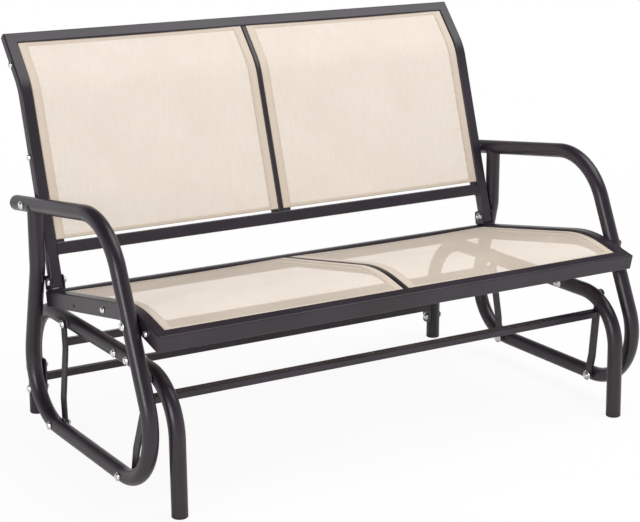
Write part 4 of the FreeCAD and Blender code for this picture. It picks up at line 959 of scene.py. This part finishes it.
@dataclass(frozen=True)
class FastenerSet(ABC):
    """The bolts or nuts of one node, each a row of rings about an axis along X.

    Their axes are farther from each other than apart, and their points lie nearer together.
    """

    node: str
    body: str
    across: float = 13.0
    apart: float = 16.0
    sides: int = 48

    def spots(self) -> list[Fastener]:
        """Find each bolt or nut, as a group of the node's points near one line along X.

        Returns:
            One record for each solid of the node.
        """
        mesh = frame["nodes"][self.node].data
        points = np.empty(len(mesh.vertices) * 3, dtype=np.float32)
        mesh.vertices.foreach_get("co", points)
        points = points.reshape(-1, 3).astype(float) / MM
        found = []
        for side in Side:
            left = points[points[:, 0] * side > 0]
            while len(left):
                near = np.linalg.norm(left[:, 1:] - left[0, 1:], axis=1) < self.apart
                group = left[near]
                middle = (group[:, 1:].min(axis=0) + group[:, 1:].max(axis=0)) / 2
                reach = np.abs(group[:, 0])
                found.append(Fastener(side, *middle, reach.min(), reach.max()))
                left = left[~near]
        return found

    @abstractmethod
    def rings(self, spot: Fastener) -> list[tuple[float, float, float]]:
        """The rings' places along X, their radii, and how hexagonal each is, from 0 to 1."""

    def surface(self, spot: Fastener, turned: float) -> Surface:
        """Turn the rings about the fastener's axis.

        A hexagonal ring's radius is divided by the cosine of the angle from its nearest flat's
        middle, and other rings blend between that and a circle. Places along X are counted
        outwards on the right, and mirrored on the left.

        Args:
            spot: The fastener.
            turned: How far the hexagon is turned, in radians.

        Returns:
            Points in metres, and quads.
        """
        place, radius, hexagonal = np.array(self.rings(spot), dtype=float).T[:, :, None]
        angle = np.arange(self.sides) / self.sides * 2 * math.pi
        flat = (angle - turned + math.pi / 6) % (math.pi / 3) - math.pi / 6
        radius = radius * (1 + hexagonal * (1 / np.cos(flat) - 1))
        x = spot.side * np.broadcast_to(place, radius.shape)
        points = np.stack([x, spot.y + radius * np.cos(angle), spot.z + radius * np.sin(angle)], axis=-1)
        quads = tube_quads(len(place), self.sides)
        return points.reshape(-1, 3) * MM, quads if spot.side is Side.RIGHT else quads[:, ::-1]

    def build(self, material: Material) -> None:
        """Join the node's fasteners into a piece that stands for it.

        Each hexagon is turned by its own angle, a golden-angle step from the one before, as a
        spanner leaves them.

        Args:
            material: Their finish.
        """
        node = self.node
        golden = math.pi * (3 - math.sqrt(5))
        parts = [self.surface(spot, index * golden) for index, spot in enumerate(self.spots())]
        piece = make_piece(node + "_dressed", joined(parts), material, self.body)
        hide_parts(node)
        LOG.info("%s: %d pieces", node, len(parts))


@dataclass(frozen=True)
class BoltSet(FastenerSet):
    """Flange bolts: hexagonal heads on round flanges, and shanks with rolled threads.

    The steps of a few tenths in their rings are the chamfers, fillets and roundings that
    cold-formed bolts have. The thread is drawn by four rings a turn, without its helix.
    """

    shank: float = 8.0
    flange: float = 17.5
    head: float = 4.5
    pitch: float = 1.25
    thread_length: float = 16.0
    thread_depth: float = 0.3
    tip_chamfer: float = 0.6
    axis_radius: float = 0.01

    def rings(self, spot: Fastener) -> list[tuple[float, float, float]]:
        """From the tip over thread, flange, hexagon and crown to the dish in the head's top.

        Args:
            spot: The bolt.

        Returns:
            Place, radius and hexagonal share of each ring.
        """
        tip, seat, top = spot.inner, spot.outer - self.head, spot.outer
        shank, flange, flat = self.shank / 2, self.flange / 2, self.across / 2
        thread = np.arange(tip + self.tip_chamfer, tip + self.thread_length, self.pitch / 4)
        turn = np.arange(len(thread))
        groove = shank - self.thread_depth * (turn % 4 == 0) - self.thread_depth / 2 * (turn % 2)
        return [(tip, self.axis_radius, 0), (tip, shank - 0.8, 0),
                *((x, radius, 0) for x, radius in zip(thread, groove)),
                (seat, shank, 0), (seat, flange - 0.3, 0), (seat + 0.4, flange, 0),
                (seat + 1.0, flange - 0.2, 0), (seat + 1.5, flat + 0.9, 0.3), (seat + 1.7, flat, 1),
                (top - 0.9, flat, 1), (top - 0.35, flat - 0.35, 0.55), (top - 0.1, flat - 0.9, 0),
                (top - 0.05, flat - 1.6, 0), (top - 0.5, flat - 2.2, 0), (top - 0.5, self.axis_radius, 0)]


@dataclass(frozen=True)
class NutSet(FastenerSet):
    """Zinc-plated locknuts: a washer, a hexagon and a rolled collar round a nylon ring.

    The steps of a few tenths in their rings are chamfers and roundings, as on the bolts.
    """

    bore: float = 8.0
    washer: float = 18.0
    clearance: float = 0.05

    def rings(self, spot: Fastener) -> list[tuple[float, float, float]]:
        """From the bore at the free end over collar, hexagon and washer back to the bore.

        Args:
            spot: The nut.

        Returns:
            Place, radius and hexagonal share of each ring.
        """
        face, free = spot.outer, spot.inner
        flat, hole, washer = self.across / 2, self.bore / 2 + self.clearance, self.washer / 2
        return [(face, hole, 0), (free + 0.8, hole, 0), (free + 0.1, hole + 0.6, 0),
                (free, flat - 1.4, 0), (free + 0.5, flat - 0.7, 0), (free + 1.6, flat - 0.6, 0),
                (free + 1.8, flat - 0.35, 0.5), (free + 2.3, flat, 1), (face - 1.9, flat, 1),
                (face - 1.6, flat - 0.1, 0.5), (face - 1.5, washer - 0.2, 0), (face - 1.2, washer, 0),
                (face - 0.2, washer, 0), (face, washer - 0.2, 0), (face, hole, 0)]


FASTENERS: tuple[FastenerSet, ...] = (
    *(BoltSet(place + "_bolts", "base") for place in ("base_joint", "stretcher", "top_pivot")),
    *(BoltSet(place + "_bolts", "seat") for place in ("bottom_pivot", "seat", "armrest", "back_foot")),
    *(NutSet(place + "_nuts", "base") for place in ("base_joint", "stretcher")),
    *(NutSet(place + "_nuts", "seat") for place in ("seat", "armrest", "back_foot")),
    NutSet("bottom_pivot_nuts", "seat", washer=22.0),
    BoltSet("sling_screws", "seat", shank=6.0, across=10.0, flange=13.5, pitch=1.0),
    NutSet("sling_screw_nuts", "seat", bore=6.0, across=10.0, washer=13.5),
)


# Studio

@dataclass(frozen=True)
class Softbox:
    """A square area lamp that looks at a target. Its places and its size are metres."""

    name: str
    place: tuple[float, float, float]
    size: float
    watts: float
    target: tuple[float, float, float] = (0.0, 0.0, 0.45)

    def build(self) -> None:
        """Make the lamp and point its -Z at the target, with no roll."""
        lamp = bpy.data.lights.new(self.name, "AREA")
        lamp.size = self.size
        lamp.energy = self.watts
        holder = add_object(self.name, lamp)
        holder.location = self.place
        way = toward(self.place, self.target)
        holder.rotation_euler = (math.acos(-way[2]), 0.0, math.atan2(-way[0], way[1]))


@dataclass(frozen=True)
class PhotoCamera:
    """The photograph's view: where the camera stood, how it was turned, and its focal length."""

    x: float = -1907.0
    y: float = -3078.0
    z: float = 1308.0
    yaw: float = 31.63
    pitch: float = 14.89
    focal_pixels: float = 1754.7
    image_width: int = 640
    farthest_m: float = 100.0

    def build(self) -> None:
        """Make the camera, whose Y counts from the same middle as the bench's."""
        data = bpy.data.cameras.new("photo_camera")
        data.sensor_fit = "HORIZONTAL"
        data.angle = 2 * math.atan(self.image_width / 2 / self.focal_pixels)
        data.clip_end = self.farthest_m
        camera = add_object("photo_camera", data)
        camera.location = SIZES.metres(self.x, self.y, self.z)
        camera.rotation_euler = (math.radians(90 - self.pitch), 0.0, math.radians(-self.yaw))
        bpy.context.scene.camera = camera


@dataclass(frozen=True)
class Studio:
    """A pale floor, a white surround and two soft lamps.

    The one overhead, in front of the bench, puts the highlights on the bends and on the flat
    faces that lean back, and leaves the tops of the armrests dark.
    """

    floor_half_m: float = 30.0
    ambient: float = 0.71
    mirrored_low: float = 0.85
    mirrored_high: float = 0.05
    fade_from: float = 0.15
    fade_to: float = 0.6
    lamps: tuple[Softbox, ...] = (
        Softbox("key", (-3.6, -2.1, 1.6), 1.4, 52.0),
        Softbox("overhead", (1.5, -0.7, 3.5), 2.8, 72.0),
    )

    def build(self) -> None:
        """Make the floor, the world and the lamps, and set the view transform."""
        half = self.floor_half_m
        mesh = bpy.data.meshes.new("floor")
        mesh.from_pydata([(-half, -half, 0), (half, -half, 0), (half, half, 0), (-half, half, 0)], [],
                         [(0, 1, 2, 3)])
        mesh.materials.append(PaleFloor().material())
        floor = add_object("floor", mesh)
        self.world()
        for lamp in self.lamps:
            lamp.build()
        bpy.context.scene.view_settings.view_transform = "Standard"

    def world(self) -> None:
        """A dim even surround for light, seen as white by the camera.

        In reflections it is bright at eye level and dimmer overhead, as in a room with a dark
        ceiling between its lamps.
        """
        world = bpy.data.worlds.new("studio")
        bpy.context.scene.world = world
        world.use_nodes = True
        tree = world.node_tree
        tree.nodes.clear()
        way = add(tree, "SeparateXYZ", {"Vector": add(tree, "TexCoord").outputs["Generated"]})
        mirrored = add(tree, "MapRange", {"Value": way.outputs["Z"], "From Min": self.fade_from,
                                          "From Max": self.fade_to, "To Min": self.mirrored_low,
                                          "To Max": self.mirrored_high})
        glossy = add(tree, "LightPath").outputs["Is Glossy Ray"]
        level = add(tree, "MapRange", {"Value": glossy, "To Min": self.ambient,
                                       "To Max": mirrored.outputs["Result"]})
        strength = add(tree, "MapRange", {"Value": seen_rays(tree), "To Min": level.outputs["Result"]})
        light = add(tree, "Background", {"Color": WHITE, "Strength": strength.outputs["Result"]})
        add(tree, "OutputWorld", {"Surface": light.outputs[0]})


# The bench

def dress_frame(finishes: dict[str, Material]) -> None:
    """Give every node of the frame its finish.

    Args:
        finishes: The material for each of the record's slots.
    """
    slots = {part["node"]: part["material_slot"] for part in frame["record"]["subparts"]}
    for name, node in frame["nodes"].items():
        node.data.materials.clear()
        node.data.materials.append(finishes[slots[name]])


def main() -> None:
    """Dress the bench piece by piece, and light it."""
    logging.basicConfig(level=logging.INFO, format="%(message)s")
    finishes = {slot.value: finish.material() for slot, finish in FINISHES.items()}
    paint, cloth, zinc = (finishes[slot.value] for slot in (Slot.PAINT, Slot.SLING, Slot.ZINC))
    dress_frame(finishes)
    thread = THREAD.material()
    for side in Side:
        SlingPanel("seat", side, SIZES.seat_line(), outer_edge=539.1, drop=5.0, front_side=-1,
                   sag=3.0, end_hem=12.0).build(cloth, thread)
        SlingPanel("back", side, SIZES.back_line(lift=6.0), outer_edge=535.9, drop=2.0, front_side=1,
                   sag=2.0, end_hem=7.0).build(cloth, thread)
    Welds(paint).build()
    for some in FASTENERS:
        some.build(zinc)
    PhotoCamera().build()
    Studio().build()


if __name__ == "__main__":
    main()
